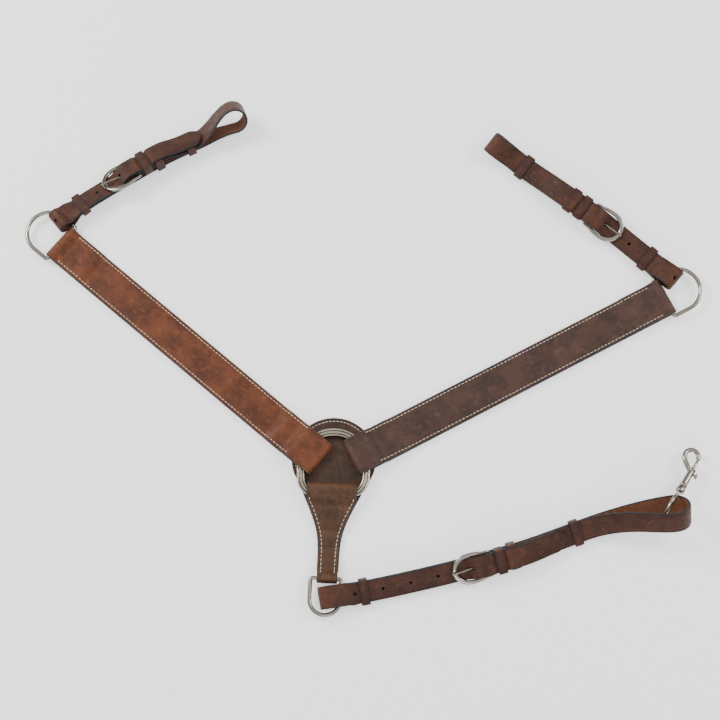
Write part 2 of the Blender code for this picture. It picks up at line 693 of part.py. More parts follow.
def make_snap(lay, tug):
    """Swivel bolt snap: eye with its stem, hook body, and spring bolt with a thumb knob."""
    matrix, facing = snap_frame(lay, tug)
    rim = EYE_RADIUS

    def along(z):
        return matrix @ Matrix.Translation((0, 0, z))

    ring = []
    radial = matrix.to_3x3().col[2].normalized()
    other = facing.cross(radial)
    for i in range(28):
        angle = 2 * math.pi * i / 28
        ring.append(matrix.translation + (radial * math.cos(angle) + other * math.sin(angle)) * rim)
    eye = sweep("snap_eye", ring, [(EYE_WIRE, EYE_WIRE)] * 28, facing, METAL)
    stem = cylinder("snap_eye_stem", SWIVEL_STEM, 11.5 * MM, along(rim), CUTTERS)
    head = cylinder("snap_eye_head", 3.3 * MM, 2.0 * MM, along(rim + 10.2 * MM), CUTTERS)
    combine(eye, stem, "UNION")
    combine(eye, head, "UNION")
    set_origin(eye, matrix.translation)

    body = cylinder("snap_body", BARREL_RADIUS, 27.5 * MM, along(rim + 14.5 * MM), PARTS, METAL)
    boss = cylinder("snap_boss", 6.3 * MM, 13 * MM, along(rim + 3.0 * MM), CUTTERS, tip=5.1 * MM)
    combine(body, boss, "UNION")
    top = rim + 56.5 * MM
    wire = []
    for x, z in ((-1.0, 34.0), (-4.5, 38.5), (-11.0, 43.5), (-16.8, 49.0)):
        wire.append(Vector((x * MM, 0, rim + z * MM)))
    for i in range(13):
        angle = math.radians(188 - 185 * i / 12)
        wire.append(Vector((HOOK_MIDDLE + HOOK_RADIUS * math.cos(angle), 0,
                            top + HOOK_RADIUS * math.sin(angle))))
    wire.append(Vector((-0.6 * MM, 0, top - 0.5 * MM)))
    sections = [(2.6 * MM, 2.6 * MM)] + [(HOOK_WIRE, 2.8 * MM)] * (len(wire) - 2)
    sections += [(2.4 * MM, 2.4 * MM)]
    hook = sweep("snap_hook", wire, sections, Vector((0, 1, 0)), None, closed=False, matrix=matrix)
    combine(body, hook, "UNION")
    bore = cylinder("snap_bore", BORE_RADIUS, 30 * MM, along(rim + 18 * MM), CUTTERS)
    combine(body, bore)
    combine(body, cylinder("snap_stem_hole", SWIVEL_STEM + GAP, 12 * MM, along(rim + 1 * MM), CUTTERS))
    combine(body, cylinder("snap_head_room", 3.7 * MM, 2.8 * MM, along(rim + 9.8 * MM), CUTTERS))
    slot = matrix @ Matrix.Translation((4 * MM, 0, rim + 31 * MM))
    combine(body, box("snap_slot", (8 * MM, 3.4 * MM, 12 * MM), slot))
    face_outward(body)
    set_origin(body, matrix.translation)

    bolt_start = rim + 31 * MM
    bolt = cylinder("snap_bolt", BOLT_RADIUS, 23.8 * MM, along(bolt_start), PARTS, METAL)
    knob_turn = Matrix.Rotation(math.radians(90), 4, "Y")
    knob_place = along(bolt_start + 3.2 * MM) @ knob_turn
    combine(bolt, cylinder("snap_knob_stem", 1.3 * MM, 9 * MM, knob_place, CUTTERS, sides=12), "UNION")
    knob_end = knob_place @ Matrix.Translation((0, 0, 7.5 * MM))
    knob = cylinder("snap_knob", KNOB_RADIUS, 3.0 * MM, knob_end, CUTTERS, tip=0.85 * KNOB_RADIUS)
    combine(bolt, knob, "UNION")
    set_origin(bolt, (along(bolt_start)).translation)


def main():
    make_backing()
    make_drop()
    make_ring()
    for name in SHOULDERS:
        make_shoulder(name)
        start, along = shoulder_frame(name)
        inset = (OVER_BAR_Z - FLAP_Z) / 2 + HIDE / 2
        bar = start + along * (SHOULDERS[name]["length"] - inset) + Vector((0, 0, BAR_Z))
        make_dee(name + "_dee", bar, along, DEE_HALF, DEE_SIDE, WIRE,
                 -DEE_SHIFT * SHOULDERS[name]["side"])
    lean = Matrix.Rotation(DROP_LEAN, 4, "Z")
    inset = (OVER_BAR_Z - FLAP_Z) / 2 + HIDE / 2
    bar = lean @ Vector((0, DROP_END_Y + inset, BAR_Z))
    down = (lean @ Vector((0, -1, 0))).normalized()
    make_dee("drop_dee", bar, down, DROP_DEE_HALF, DROP_DEE_SIDE, DROP_WIRE, 1.3 * MM)
    for name, tug in TUGS.items():
        lay = make_tug(name, tug)
        make_buckle(name.split("_")[0], lay, tug)
        make_keepers(name.split("_")[0], lay, tug)
        if name == "girth_strap":
            make_snap(lay, tug)


clear_scene()
PARTS = new_collection("breastplate")
CUTTERS = new_collection("breastplate cutters")
METAL = make_material("nickel plate", (0.62, 0.60, 0.56), 0.25, 1.0)
RING_METAL = make_material("ring nickel", (0.60, 0.57, 0.50), 0.32, 1.0)
BACKING_LEATHER = make_material("backing leather", (0.060, 0.040, 0.032), 0.55, 0.0)
DROP_LEATHER = make_material("drop leather", (0.095, 0.055, 0.038), 0.5, 0.0)
LINING_LEATHER = make_material("lining leather", (0.055, 0.038, 0.030), 0.65, 0.0)
TUG_LEATHER = make_material("tug leather", (0.110, 0.052, 0.035), 0.5, 0.0)
KEEPER_LEATHER = make_material("keeper leather", (0.100, 0.048, 0.034), 0.5, 0.0)
LEATHERS = {
    "left": make_material("left shoulder leather", (0.190, 0.078, 0.044), 0.48, 0.0),
    "right": make_material("right shoulder leather", (0.088, 0.052, 0.042), 0.5, 0.0),
}
main()
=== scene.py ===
"""Looks of the western breastplate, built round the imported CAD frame.

Every leather strap, its thread, the rings, buckles and the snap are made here again in finer shapes,
on the same driving dimensions as the CAD. Metres, in the frame's axes.
"""
import json
import math

import bmesh
import bpy
from mathutils import Matrix, Vector, noise


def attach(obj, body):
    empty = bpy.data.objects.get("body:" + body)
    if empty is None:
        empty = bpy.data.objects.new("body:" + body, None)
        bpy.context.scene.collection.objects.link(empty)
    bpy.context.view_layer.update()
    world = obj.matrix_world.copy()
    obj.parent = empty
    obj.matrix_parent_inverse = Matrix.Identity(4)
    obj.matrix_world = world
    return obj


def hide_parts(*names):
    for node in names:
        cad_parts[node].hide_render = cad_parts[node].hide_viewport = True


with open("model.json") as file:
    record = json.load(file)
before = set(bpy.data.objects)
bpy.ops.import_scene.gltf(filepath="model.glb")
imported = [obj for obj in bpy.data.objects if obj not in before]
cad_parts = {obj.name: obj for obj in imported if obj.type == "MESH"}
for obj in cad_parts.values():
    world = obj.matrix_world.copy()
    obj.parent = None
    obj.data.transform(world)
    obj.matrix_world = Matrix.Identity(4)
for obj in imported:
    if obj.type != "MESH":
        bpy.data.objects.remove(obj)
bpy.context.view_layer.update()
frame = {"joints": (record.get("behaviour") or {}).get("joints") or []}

JOINTS = {joint["name"]: joint for joint in frame["joints"]}

MM = 0.001
GAP = 0.3 * MM

# Leather
HIDE = 3.3 * MM                 # backing, drop and shoulder straps, each layer
SHOULDER_WIDTH = 52 * MM
SHOULDER_FLAP = 62 * MM
TUG_WIDTH = 30 * MM
TUG_HIDE = 3.0 * MM
KEEPER_WIDTH = 12 * MM
KEEPER_HIDE = 2.2 * MM
HOLE_RADIUS = 2.0 * MM
HOLE_SHADE_DEPTH = 0.9 * MM            # how deep a hole's cut reaches into the strand under it, where its near-black walls paint the shade under the hole
CREASE = (2.4 * MM, 0.5 * MM, 0.16 * MM)    # line beside an edge: inset, half width, depth
CROWN = 0.12 * MM               # how much a strap's face drops towards its edges
WAVE = 0.12 * MM                # unevenness of a strap's faces

# Thread
STITCH_PITCH = 5.5 * MM
STITCH_LENGTH = 4.0 * MM
THREAD_RADIUS = 0.48 * MM
SHOULDER_INSET = 4.3 * MM
BACKING_INSET = 5.0 * MM
DROP_INSET = 4.6 * MM
STITCH_GROOVE = (0.9 * MM, 0.25 * MM)       # half width and depth of the line under a row
THREAD_SINK = 0.12 * MM         # how far a stitch's middle line sits below the face

# Centre ring
RING_RADIUS = 44 * MM
RING_BAND = 10 * MM
RING_BAR_BAND = 5 * MM
RING_THICK = 4.5 * MM
RING_SIDE = 18 * MM
RING_CORNER = 23 * MM

# Backing and drop strap
BULB_RADIUS = 57 * MM
BULB_CENTRE_Y = 8.5 * MM
BULB_SLOPE = math.radians(26)
NECK_HALF = 14.5 * MM
DROP_HALF = 34 * MM
DROP_TOP_Y = -25.5 * MM
DROP_END_Y = -161 * MM
DROP_LEAN = math.radians(-3.0)

# Dees
WIRE = 2.9 * MM
DEE_HALF = 30.0 * MM
DEE_SIDE = 24 * MM
DEE_CORNER = 3.6 * MM
DEE_SHIFT = 0.4 * MM
DROP_WIRE = 2.9 * MM
DROP_DEE_HALF = 20.5 * MM
DROP_DEE_SIDE = 28 * MM
DROP_DEE_SHIFT = 1.3 * MM

# Buckles, measured from the heel bar towards the curved end
BAR_RADIUS = 1.7 * MM
FRAME_LENGTH = 52 * MM
FRAME_HALF = 18.9 * MM
TONGUE_WIRE = 1.25 * MM
TONGUE_HOLE = 26 * MM
TONGUE_REST = 4.0 * MM          # height of the tongue where it lies on the bow

# Heights of the layers, to their middles
FLAP_Z = HIDE + GAP + HIDE / 2
OVER_FLAP_Z = FLAP_Z + HIDE + GAP
RING_Z = FLAP_Z + HIDE / 2 + 1.2 * MM + RING_THICK / 2
OVER_RING_Z = RING_Z + RING_THICK / 2 + GAP + HIDE / 2
DROP_OVER_RING_Z = OVER_RING_Z + 1.0 * MM
BAR_Z = FLAP_Z + HIDE / 2 + GAP + WIRE
OVER_BAR_Z = BAR_Z + WIRE + GAP + HIDE / 2
TUG_BACK_H = TUG_HIDE / 2
TUG_FRONT_H = TUG_BACK_H + TUG_HIDE + GAP
HEEL_BAR_H = 9.15 * MM
CHAPE_LOW_H = 7.5 * MM
CHAPE_HIGH_H = CHAPE_LOW_H + TUG_HIDE + GAP
BILLET_BAR_H = 16.2 * MM
BILLET_KEEPER_H = CHAPE_HIGH_H + TUG_HIDE + GAP
BILLET_B2_H = 16.8 * MM
BILLET_TIP_H = TUG_FRONT_H + TUG_HIDE + 2 * GAP
BILLET_OVER_C_H = 11.2 * MM
OVER_WIRE_H = 15.2 * MM
DEE_LOOP_RADIUS = 9.5 * MM

SHOULDERS = {
    "left": {"angle": math.radians(139.7), "inner": 15.4 * MM, "offset": 7.0 * MM, "side": 1,
             "length": 480 * MM},
    "right": {"angle": math.radians(27.7), "inner": 24.0 * MM, "offset": -4.1 * MM, "side": -1,
              "length": 492 * MM},
}

# The buckled straps. Distances run along the strap from the dee's fold, in millimetres.
TUGS = {
    "left_tug": {
        "axis": [(-387.5, 337.0), (-345.5, 370.0), (-291.5, 405.0), (-236.0, 438.0),
                 (-177.0, 466.0), (-110.0, 487.0)],
        "roll": (5, 24, 42), "wire": 20, "keeper_a": 46, "bar": 137, "keeper_c": 218, "tip": 238,
        "length": 307, "loop_height": 37, "rise": 0, "round_tip": True, "holes": (73.5, 5),
    },
    "right_tug": {
        "axis": [(473.0, 255.5), (428.0, 294.0), (363.0, 350.0), (300.0, 398.0),
                 (262.0, 426.5), (216.0, 467.0)],
        "roll": (5, 16, 25), "wire": 29, "keeper_a": 52, "bar": 152, "keeper_c": 266, "tip": 253,
        "length": 326, "loop_height": 22, "rise": 0, "round_tip": True, "holes": (84, 6),
    },
    "girth_strap": {
        "axis": [(-19.0, -180.5), (50.5, -168.8), (131.5, -150.9), (191.2, -135.4),
                 (265.6, -113.0), (358.8, -79.5), (425.0, -60.5), (482.0, -51.0)],
        "roll": (-5, -26, -44), "wire": 37, "keeper_a": 61, "bar": 232, "keeper_c": 354,
        "tip": 341, "length": 508, "loop_height": 45, "rise": 6.5, "round_tip": False,
        "holes": (161, 123.5, 86, 48.5),
    },
}
STRAND_LIFT = 3.3 * MM
DEE_LIFT = 0.5 * MM

# Swivel snap, along its own axis from the middle of the eye
EYE_RADIUS = 22.0 * MM
EYE_WIRE = 2.2 * MM
BOLT_RADIUS = 1.8 * MM
HOOK_WIRE = 3.3 * MM
HOOK_RADIUS = 9.4 * MM
HOOK_MIDDLE = -10.0 * MM        # across the snap, to the side away from the knob
EYE_BACK = 1.0 * MM             # how far behind the loop's end bend the eye hangs
STEM_RADIUS = 2.0 * MM          # of the swivel's stem
SLOT_MIDDLE = 31 * MM           # of the knob's slot, beyond the eye's rim
HOOK_TOP = 56.5 * MM            # the hook's own centre, beyond the eye's rim
BOLT_LENGTH = 23.8 * MM


# ---------------------------------------------------------------- profiles and lays

def smooth(t):
    t = min(max(t, 0.0), 1.0)
    return t * t * (3 - 2 * t)


def spline(controls, steps, run_on=False):
    """Catmull-Rom curve through control tuples; its ends run on straight, or else start slowly."""
    first = controls[0]
    last = controls[-1]
    if run_on:
        first = tuple(2 * a - b for a, b in zip(controls[0], controls[1]))
        last = tuple(2 * a - b for a, b in zip(controls[-1], controls[-2]))
    padded = [first] + list(controls) + [last]
    points = []
    for p0, p1, p2, p3 in zip(padded, padded[1:], padded[2:], padded[3:]):
        for i in range(steps):
            t = i / steps
            points.append(tuple(b + ((c - a) * t + (2 * a - 5 * b + 4 * c - d) * t ** 2
                                     + (3 * b - a - 3 * c + d) * t ** 3) / 2
                                for a, b, c, d in zip(p0, p1, p2, p3)))
    points.append(tuple(controls[-1]))
    return points


def arc(radius, start, turn, steps, centre=(0, 0)):
    """Points of a circular arc, both ends included; start and turn are in degrees."""
    angles = [math.radians(start + turn * i / steps) for i in range(steps + 1)]
    return [(centre[0] + radius * math.cos(a), centre[1] + radius * math.sin(a)) for a in angles]


def rigid(x, y, z, origin):
    """Rigid frame from three unit axes and an origin."""
    matrix = Matrix((x, y, z)).transposed().to_4x4()
    matrix.translation = origin
    return matrix


def between(stations, u):
    """Value at u of a smooth step through (u, value) stations in rising order."""
    if u <= stations[0][0]:
        return stations[0][1]
    for (u0, a), (u1, b) in zip(stations, stations[1:]):
        if u <= u1:
            return a + (b - a) * smooth((u - u0) / (u1 - u0))
    return stations[-1][1]


def strand(stations, pitch=5 * MM, steps=10):
    """Side profile through (u, h) stations, with a smooth step wherever the height changes."""
    points = [stations[0]]
    for (u0, h0), (u1, h1) in zip(stations, stations[1:]):
        parts = max(1, math.ceil(abs(u1 - u0) / pitch))
        if abs(h1 - h0) > GAP:
            parts = max(parts, steps)
        for i in range(1, parts + 1):
            t = i / parts
            points.append((u0 + (u1 - u0) * t, h0 + (h1 - h0) * smooth(t)))
    return points


def half_turn(u, h_from, h_to, end, steps=16):
    """A fold's half circle between two heights; end is +1 or -1, the way it bulges along u."""
    middle = (h_from + h_to) / 2
    radius = (h_from - h_to) / 2
    points = []
    for i in range(1, steps):
        angle = math.pi * i / steps
        points.append((u + end * abs(radius) * math.sin(angle), middle + radius * math.cos(angle)))
    return points


class Lay:
    """Where a strap lies: a plan curve, a lean about it and a lift off the ground."""

    def __init__(self, axis, roll=((0, 0),), lift=((0, 0),), half=0.0):
        plan = spline(axis, 12, run_on=True) if len(axis) > 2 else axis
        self.points = [Vector((x, y, 0)) for x, y in plan]
        self.roll = roll
        self.lift = lift
        self.half = half
        self.lengths = [0.0]
        for a, b in zip(self.points, self.points[1:]):
            self.lengths.append(self.lengths[-1] + (b - a).length)

    def at(self, u):
        """Point and unit direction of the axis, run on straight past either end."""
        i = 0
        while i < len(self.points) - 2 and self.lengths[i + 1] < u:
            i += 1
        step = (self.points[i + 1] - self.points[i]).normalized()
        return self.points[i] + step * (u - self.lengths[i]), step

    def direction(self, u):
        """Direction of the axis, averaged so that it turns evenly."""
        reach = 9 * MM
        return (self.at(u + reach)[0] - self.at(u - reach)[0]).normalized()

    def basis(self, u):
        """Origin, along, across and up vectors of the strap's section at u."""
        along = self.direction(u)
        side = Vector((-along.y, along.x, 0))
        roll = math.radians(between(self.roll, u))
        up = Vector((0, 0, math.cos(roll))) + side * math.sin(roll)
        across = side * math.cos(roll) - Vector((0, 0, math.sin(roll)))
        height = between(self.lift, u) + abs(math.sin(roll)) * self.half
        return self.at(u)[0] + Vector((0, 0, height)), along, across, up

    def place(self, u, h, v):
        origin, _, across, up = self.basis(u)
        return origin + up * h + across * v

    def matrix(self, u):
        """Rigid frame at u: X along the strap, Y across, Z up off its face."""
        origin, along, across, up = self.basis(u)
        return rigid(along, across, up, origin)


# ---------------------------------------------------------------- mesh tools

class Shape:
    """Vertices, faces and per-vertex numbers of one piece while it is put together."""

    def __init__(self):
        self.verts = []
        self.faces = []
        self.values = {}

    def add(self, point, **values):
        for key in values:
            self.values.setdefault(key, [0.0] * len(self.verts))
        self.verts.append(tuple(point))
        for key, stored in self.values.items():
            stored.append(values.get(key, 0.0))
        return len(self.verts) - 1

    def rings(self, rows, count, closed_rows=False, caps=True):
        """Quads between consecutive rows of count vertices, each row a closed loop."""
        total = len(rows)
        for r in range(total if closed_rows else total - 1):
            a = rows[r]
            b = rows[(r + 1) % total]
            for i in range(count):
                j = (i + 1) % count
                self.faces.append((a + i, a + j, b + j, b + i))
        if caps and not closed_rows:
            self.faces.append(tuple(rows[0] + i for i in reversed(range(count))))
            self.faces.append(tuple(rows[-1] + i for i in range(count)))

    def build(self, name, material, body, replaces=(), slot=None, sharp=None):
        mesh = bpy.data.meshes.new(name)
        mesh.from_pydata(self.verts, [], self.faces)
        for key, stored in self.values.items():
            attribute = mesh.attributes.new(key, "FLOAT", "POINT")
            attribute.data.foreach_set("value", stored)
        mesh.materials.append(material)
        clean = bmesh.new()
        clean.from_mesh(mesh)
        bmesh.ops.recalc_face_normals(clean, faces=clean.faces)
        clean.to_mesh(mesh)
        clean.free()
        mesh.shade_smooth()
        if sharp:
            mesh.set_sharp_from_angle(angle=math.radians(sharp))
        item = bpy.data.objects.new(name, mesh)
        bpy.context.scene.collection.objects.link(item)
        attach(item, body)
        if replaces:
            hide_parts(*replaces)
        return item


def apply_cuts(item, cutters, inside):
    """Cut closed shapes out of a piece in one go; the cut faces get the inside material."""
    joined = bmesh.new()
    for cutter in cutters:
        joined.from_mesh(cutter)
        bpy.data.meshes.remove(cutter)
    tool_mesh = bpy.data.meshes.new("cutter")
    joined.to_mesh(tool_mesh)
    joined.free()
    tool_mesh.materials.append(inside)
    tool = bpy.data.objects.new("cutter", tool_mesh)
    bpy.context.scene.collection.objects.link(tool)
    boolean = item.modifiers.new("cut", "BOOLEAN")
    boolean.operation = "DIFFERENCE"
    boolean.material_mode = "TRANSFER"
    boolean.object = tool
    graph = bpy.context.evaluated_depsgraph_get()
    cut = bpy.data.meshes.new_from_object(item.evaluated_get(graph))
    old = item.data
    item.modifiers.clear()
    item.data = cut
    cut.name = old.name
    bpy.data.meshes.remove(old)
    bpy.data.objects.remove(tool)


def cutter_mesh(mesh):
    """Keep a bmesh as a mesh whose faces look outwards."""
    bmesh.ops.recalc_face_normals(mesh, faces=mesh.faces)
    data = bpy.data.meshes.new("cutter")
    mesh.to_mesh(data)
    mesh.free()
    return data


def box_cutter(matrix, length, width, height):
    mesh = bmesh.new()
    bmesh.ops.create_cube(mesh, size=1, matrix=matrix @ Matrix.Diagonal((length, width, height, 1)))
    return cutter_mesh(mesh)


def punch(matrix, length, stretch=1.0, sides=24):
    """Punch along the matrix's Z, centred on its origin and stretched along X into a slot."""
    mesh = bmesh.new()
    stretched = matrix @ Matrix.Diagonal((stretch, 1, 1, 1))
    bmesh.ops.create_cone(mesh, cap_ends=True, segments=sides, radius1=HOLE_RADIUS,
                          radius2=HOLE_RADIUS, depth=length, matrix=stretched)
    return cutter_mesh(mesh)


def strip_section(half, thick, grooves):
    """Points (v, w, edge, flesh, groove) round a strip's section, grain side first.

    grooves lists (distance from the edge, half width, depth) of the lines pressed into the grain.
    """
    soft = min(0.42 * thick, half * 0.5)
    inner = half - soft
    right = [(0.3 * inner, 0.0), (0.55 * inner, 0.0)]
    for inset, width, depth in grooves:
        centre = half - inset
        right += [(centre - width, 0.0), (centre, depth), (centre + width, 0.0)]
    right += [(0.985 * inner, 0.0), (inner, 0.0)]
    face = [(-v, depth) for v, depth in reversed(right)] + [(0.0, 0.0)] + right
    points = []
    for v, depth in face:
        top = thick / 2 - depth - CROWN * (v / half) ** 2
        points.append((v, top, 0.0, 0.0, 1.0 if depth else 0.0))
    edge_steps = 6
    for sign in (1, -1):
        for i in range(1, edge_steps):
            angle = sign * (math.pi / 2 - math.pi * i / edge_steps)
            worn = 1.0 if 1 < i < edge_steps - 1 else 0.7
            points.append((sign * (inner + soft * abs(math.cos(angle))),
                           thick / 2 * math.sin(angle), worn, 0.5, 0.0))
        if sign > 0:
            points += [(v * inner, -thick / 2, 0.0, 1.0, 0.0) for v in (0.985, 0.5, 0, -0.5, -0.985)]
    return points


class Strip:
    """A leather strip along a side profile, with its grain on the outer side of its folds."""

    def __init__(self, path, lay, thick, half_at):
        """half_at gives the half width at a distance along the strip and its place u."""
        self.thick = thick
        self.half_at = half_at
        self.centres = [lay.place(u, h, 0) for u, h in path]
        self.across = [lay.basis(u)[2] for u, _ in path]
        self.lengths = [0.0]
        for a, b in zip(self.centres, self.centres[1:]):
            self.lengths.append(self.lengths[-1] + (b - a).length)
        self.tangents = []
        last = len(path) - 1
        for i in range(last + 1):
            step = self.centres[min(i + 1, last)] - self.centres[max(i - 1, 0)]
            self.tangents.append(step.normalized())
        self.bends = [0.0] * (last + 1)
        for i in range(1, last):
            turn = self.tangents[i + 1].angle(self.tangents[i - 1])
            span = self.lengths[i + 1] - self.lengths[i - 1]
            self.bends[i] = min(1.0, turn / span * 9 * MM)
        self.path = path

    @property
    def total(self):
        return self.lengths[-1]

    def at(self, s, v=0.0, w=0.0):
        """Point, tangent, across and normal at a distance along the strip."""
        i = 0
        while i < len(self.lengths) - 2 and self.lengths[i + 1] < s:
            i += 1
        t = (s - self.lengths[i]) / (self.lengths[i + 1] - self.lengths[i])
        centre = self.centres[i].lerp(self.centres[i + 1], t)
        tangent = self.tangents[i].lerp(self.tangents[i + 1], t).normalized()
        across = self.across[i].lerp(self.across[i + 1], t).normalized()
        normal = across.cross(tangent).normalized()
        return centre + across * v + normal * w, tangent, across, normal

    def matrix(self, s):
        """Rigid frame at a distance along the strip: X along it, Y across, Z off its grain."""
        point, tangent, across, normal = self.at(s)
        return rigid(tangent, across, normal, point)

    def u_at(self, s):
        """Place u along the lay at a distance along the strip."""
        for i in range(len(self.path) - 1):
            if s <= self.lengths[i + 1]:
                share = (s - self.lengths[i]) / (self.lengths[i + 1] - self.lengths[i])
                return self.path[i][0] + share * (self.path[i + 1][0] - self.path[i][0])
        return self.path[-1][0]

    def at_u(self, u, after=0.0):
        """Distance along the strip where it first reaches u, from after on."""
        for i in range(len(self.path) - 1):
            a = self.path[i][0]
            b = self.path[i + 1][0]
            if self.lengths[i] >= after and min(a, b) <= u <= max(a, b) and a != b:
                share = (u - a) / (b - a)
                return self.lengths[i] + share * (self.lengths[i + 1] - self.lengths[i])
        return self.total

    def shape(self, grooves=()):
        """Closed mesh of the strip, its two ends softly rounded."""
        shape = Shape()
        rows = []
        round_end = 0.45 * self.thick
        ends = [(0.0, 0.45), (0.12 * self.thick, 0.75), (round_end, 1.0)]
        inner = [s for s in self.lengths if 1.5 * round_end < s < self.total - 1.5 * round_end]
        marks = ends + [(s, 1.0) for s in inner]
        marks += [(self.total - s, squash) for s, squash in reversed(ends)]
        for s, squash in marks:
            half = self.half_at(s, self.u_at(s))
            centre, _, across, normal = self.at(s)
            bend = self.bend_at(s)
            row = len(shape.verts)
            points = strip_section(half, self.thick, grooves)
            for v, w, edge, flesh, groove in points:
                wave = WAVE * noise.noise(Vector((s * 45, v * 20, self.total * 90)))
                point = centre + across * v + normal * (w * squash + wave)
                shape.add(point, along=s, across=v, edge=max(edge, 1.0 - squash), flesh=flesh,
                          groove=groove, bend=bend, rim=abs(v) / half)
            rows.append(row)
        shape.rings(rows, len(points))
        return shape

    def bend_at(self, s):
        """How hard the strip is bent near s, from 0 to 1."""
        total = 0.0
        weight = 0.0
        for length, bend in zip(self.lengths, self.bends):
            near = max(0.0, 1 - abs(length - s) / (6 * MM))
            total += near * bend
            weight += near
        return total / weight if weight else 0.0


# ---------------------------------------------------------------- materials

class Nodes:
    """A material's node tree with short helpers."""

    def __init__(self, name):
        self.material = bpy.data.materials.new(name)
        self.material.use_nodes = True
        self.tree = self.material.node_tree
        self.shader = self.tree.nodes["Principled BSDF"]

    def new(self, kind, **settings):
        node = self.tree.nodes.new(kind)
        for key, value in settings.items():
            setattr(node, key, value)
        return node

    def link(self, source, target):
        self.tree.links.new(source, target)

    def set(self, socket, value):
        self.shader.inputs[socket].default_value = value

    def value(self, name):
        """A number stored on the mesh's points."""
        return self.new("ShaderNodeAttribute", attribute_name=name).outputs["Fac"]

    def math(self, operation, a, b=0.0, c=0.0):
        node = self.new("ShaderNodeMath", operation=operation)
        for socket, item in zip(node.inputs, (a, b, c)):
            if isinstance(item, (int, float)):
                socket.default_value = item
            else:
                self.link(item, socket)
        return node.outputs[0]

    def ramp(self, fac, low, high, out_low=0.0, out_high=1.0):
        """Smooth step of fac from low..high to out_low..out_high."""
        node = self.new("ShaderNodeMapRange", interpolation_type="SMOOTHSTEP")
        self.link(fac, node.inputs["Value"])
        node.inputs["From Min"].default_value = low
        node.inputs["From Max"].default_value = high
        node.inputs["To Min"].default_value = out_low
        node.inputs["To Max"].default_value = out_high
        return node.outputs["Result"]

    def mix(self, fac, a, b, blend="MIX"):
        node = self.new("ShaderNodeMix", data_type="RGBA", blend_type=blend)
        for socket, item in ((node.inputs[0], fac), (node.inputs[6], a), (node.inputs[7], b)):
            if isinstance(item, tuple):
                socket.default_value = (*item, 1)
            elif isinstance(item, (int, float)):
                socket.default_value = item
            else:
                self.link(item, socket)
        return node.outputs[2]

    def noise(self, vector, scale, detail=4.0, rough=0.55):
        node = self.new("ShaderNodeTexNoise")
        self.link(vector, node.inputs["Vector"])
        node.inputs["Scale"].default_value = scale
        node.inputs["Detail"].default_value = detail
        node.inputs["Roughness"].default_value = rough
        return node.outputs["Fac"]

    def place(self, offset=(0, 0, 0), scale=(1, 1, 1)):
        """Position in metres, moved and stretched."""
        coordinates = self.new("ShaderNodeTexCoord")
        mapping = self.new("ShaderNodeMapping")
        mapping.inputs["Location"].default_value = offset
        mapping.inputs["Scale"].default_value = scale
        self.link(coordinates.outputs["Object"], mapping.inputs["Vector"])
        return mapping.outputs["Vector"]

    def strap_place(self, along, across):
        """Position along and across the strap, stretched by the two factors."""
        combine = self.new("ShaderNodeCombineXYZ")
        self.link(self.math("MULTIPLY", self.value("along"), along), combine.inputs["X"])
        self.link(self.math("MULTIPLY", self.value("across"), across), combine.inputs["Y"])
        return combine.outputs["Vector"]

    def bump(self, height, strength, distance, before=None):
        node = self.new("ShaderNodeBump")
        node.inputs["Strength"].default_value = strength
        node.inputs["Distance"].default_value = distance
        self.link(height, node.inputs["Height"])
        if before:
            self.link(before, node.inputs["Normal"])
        return node.outputs["Normal"]


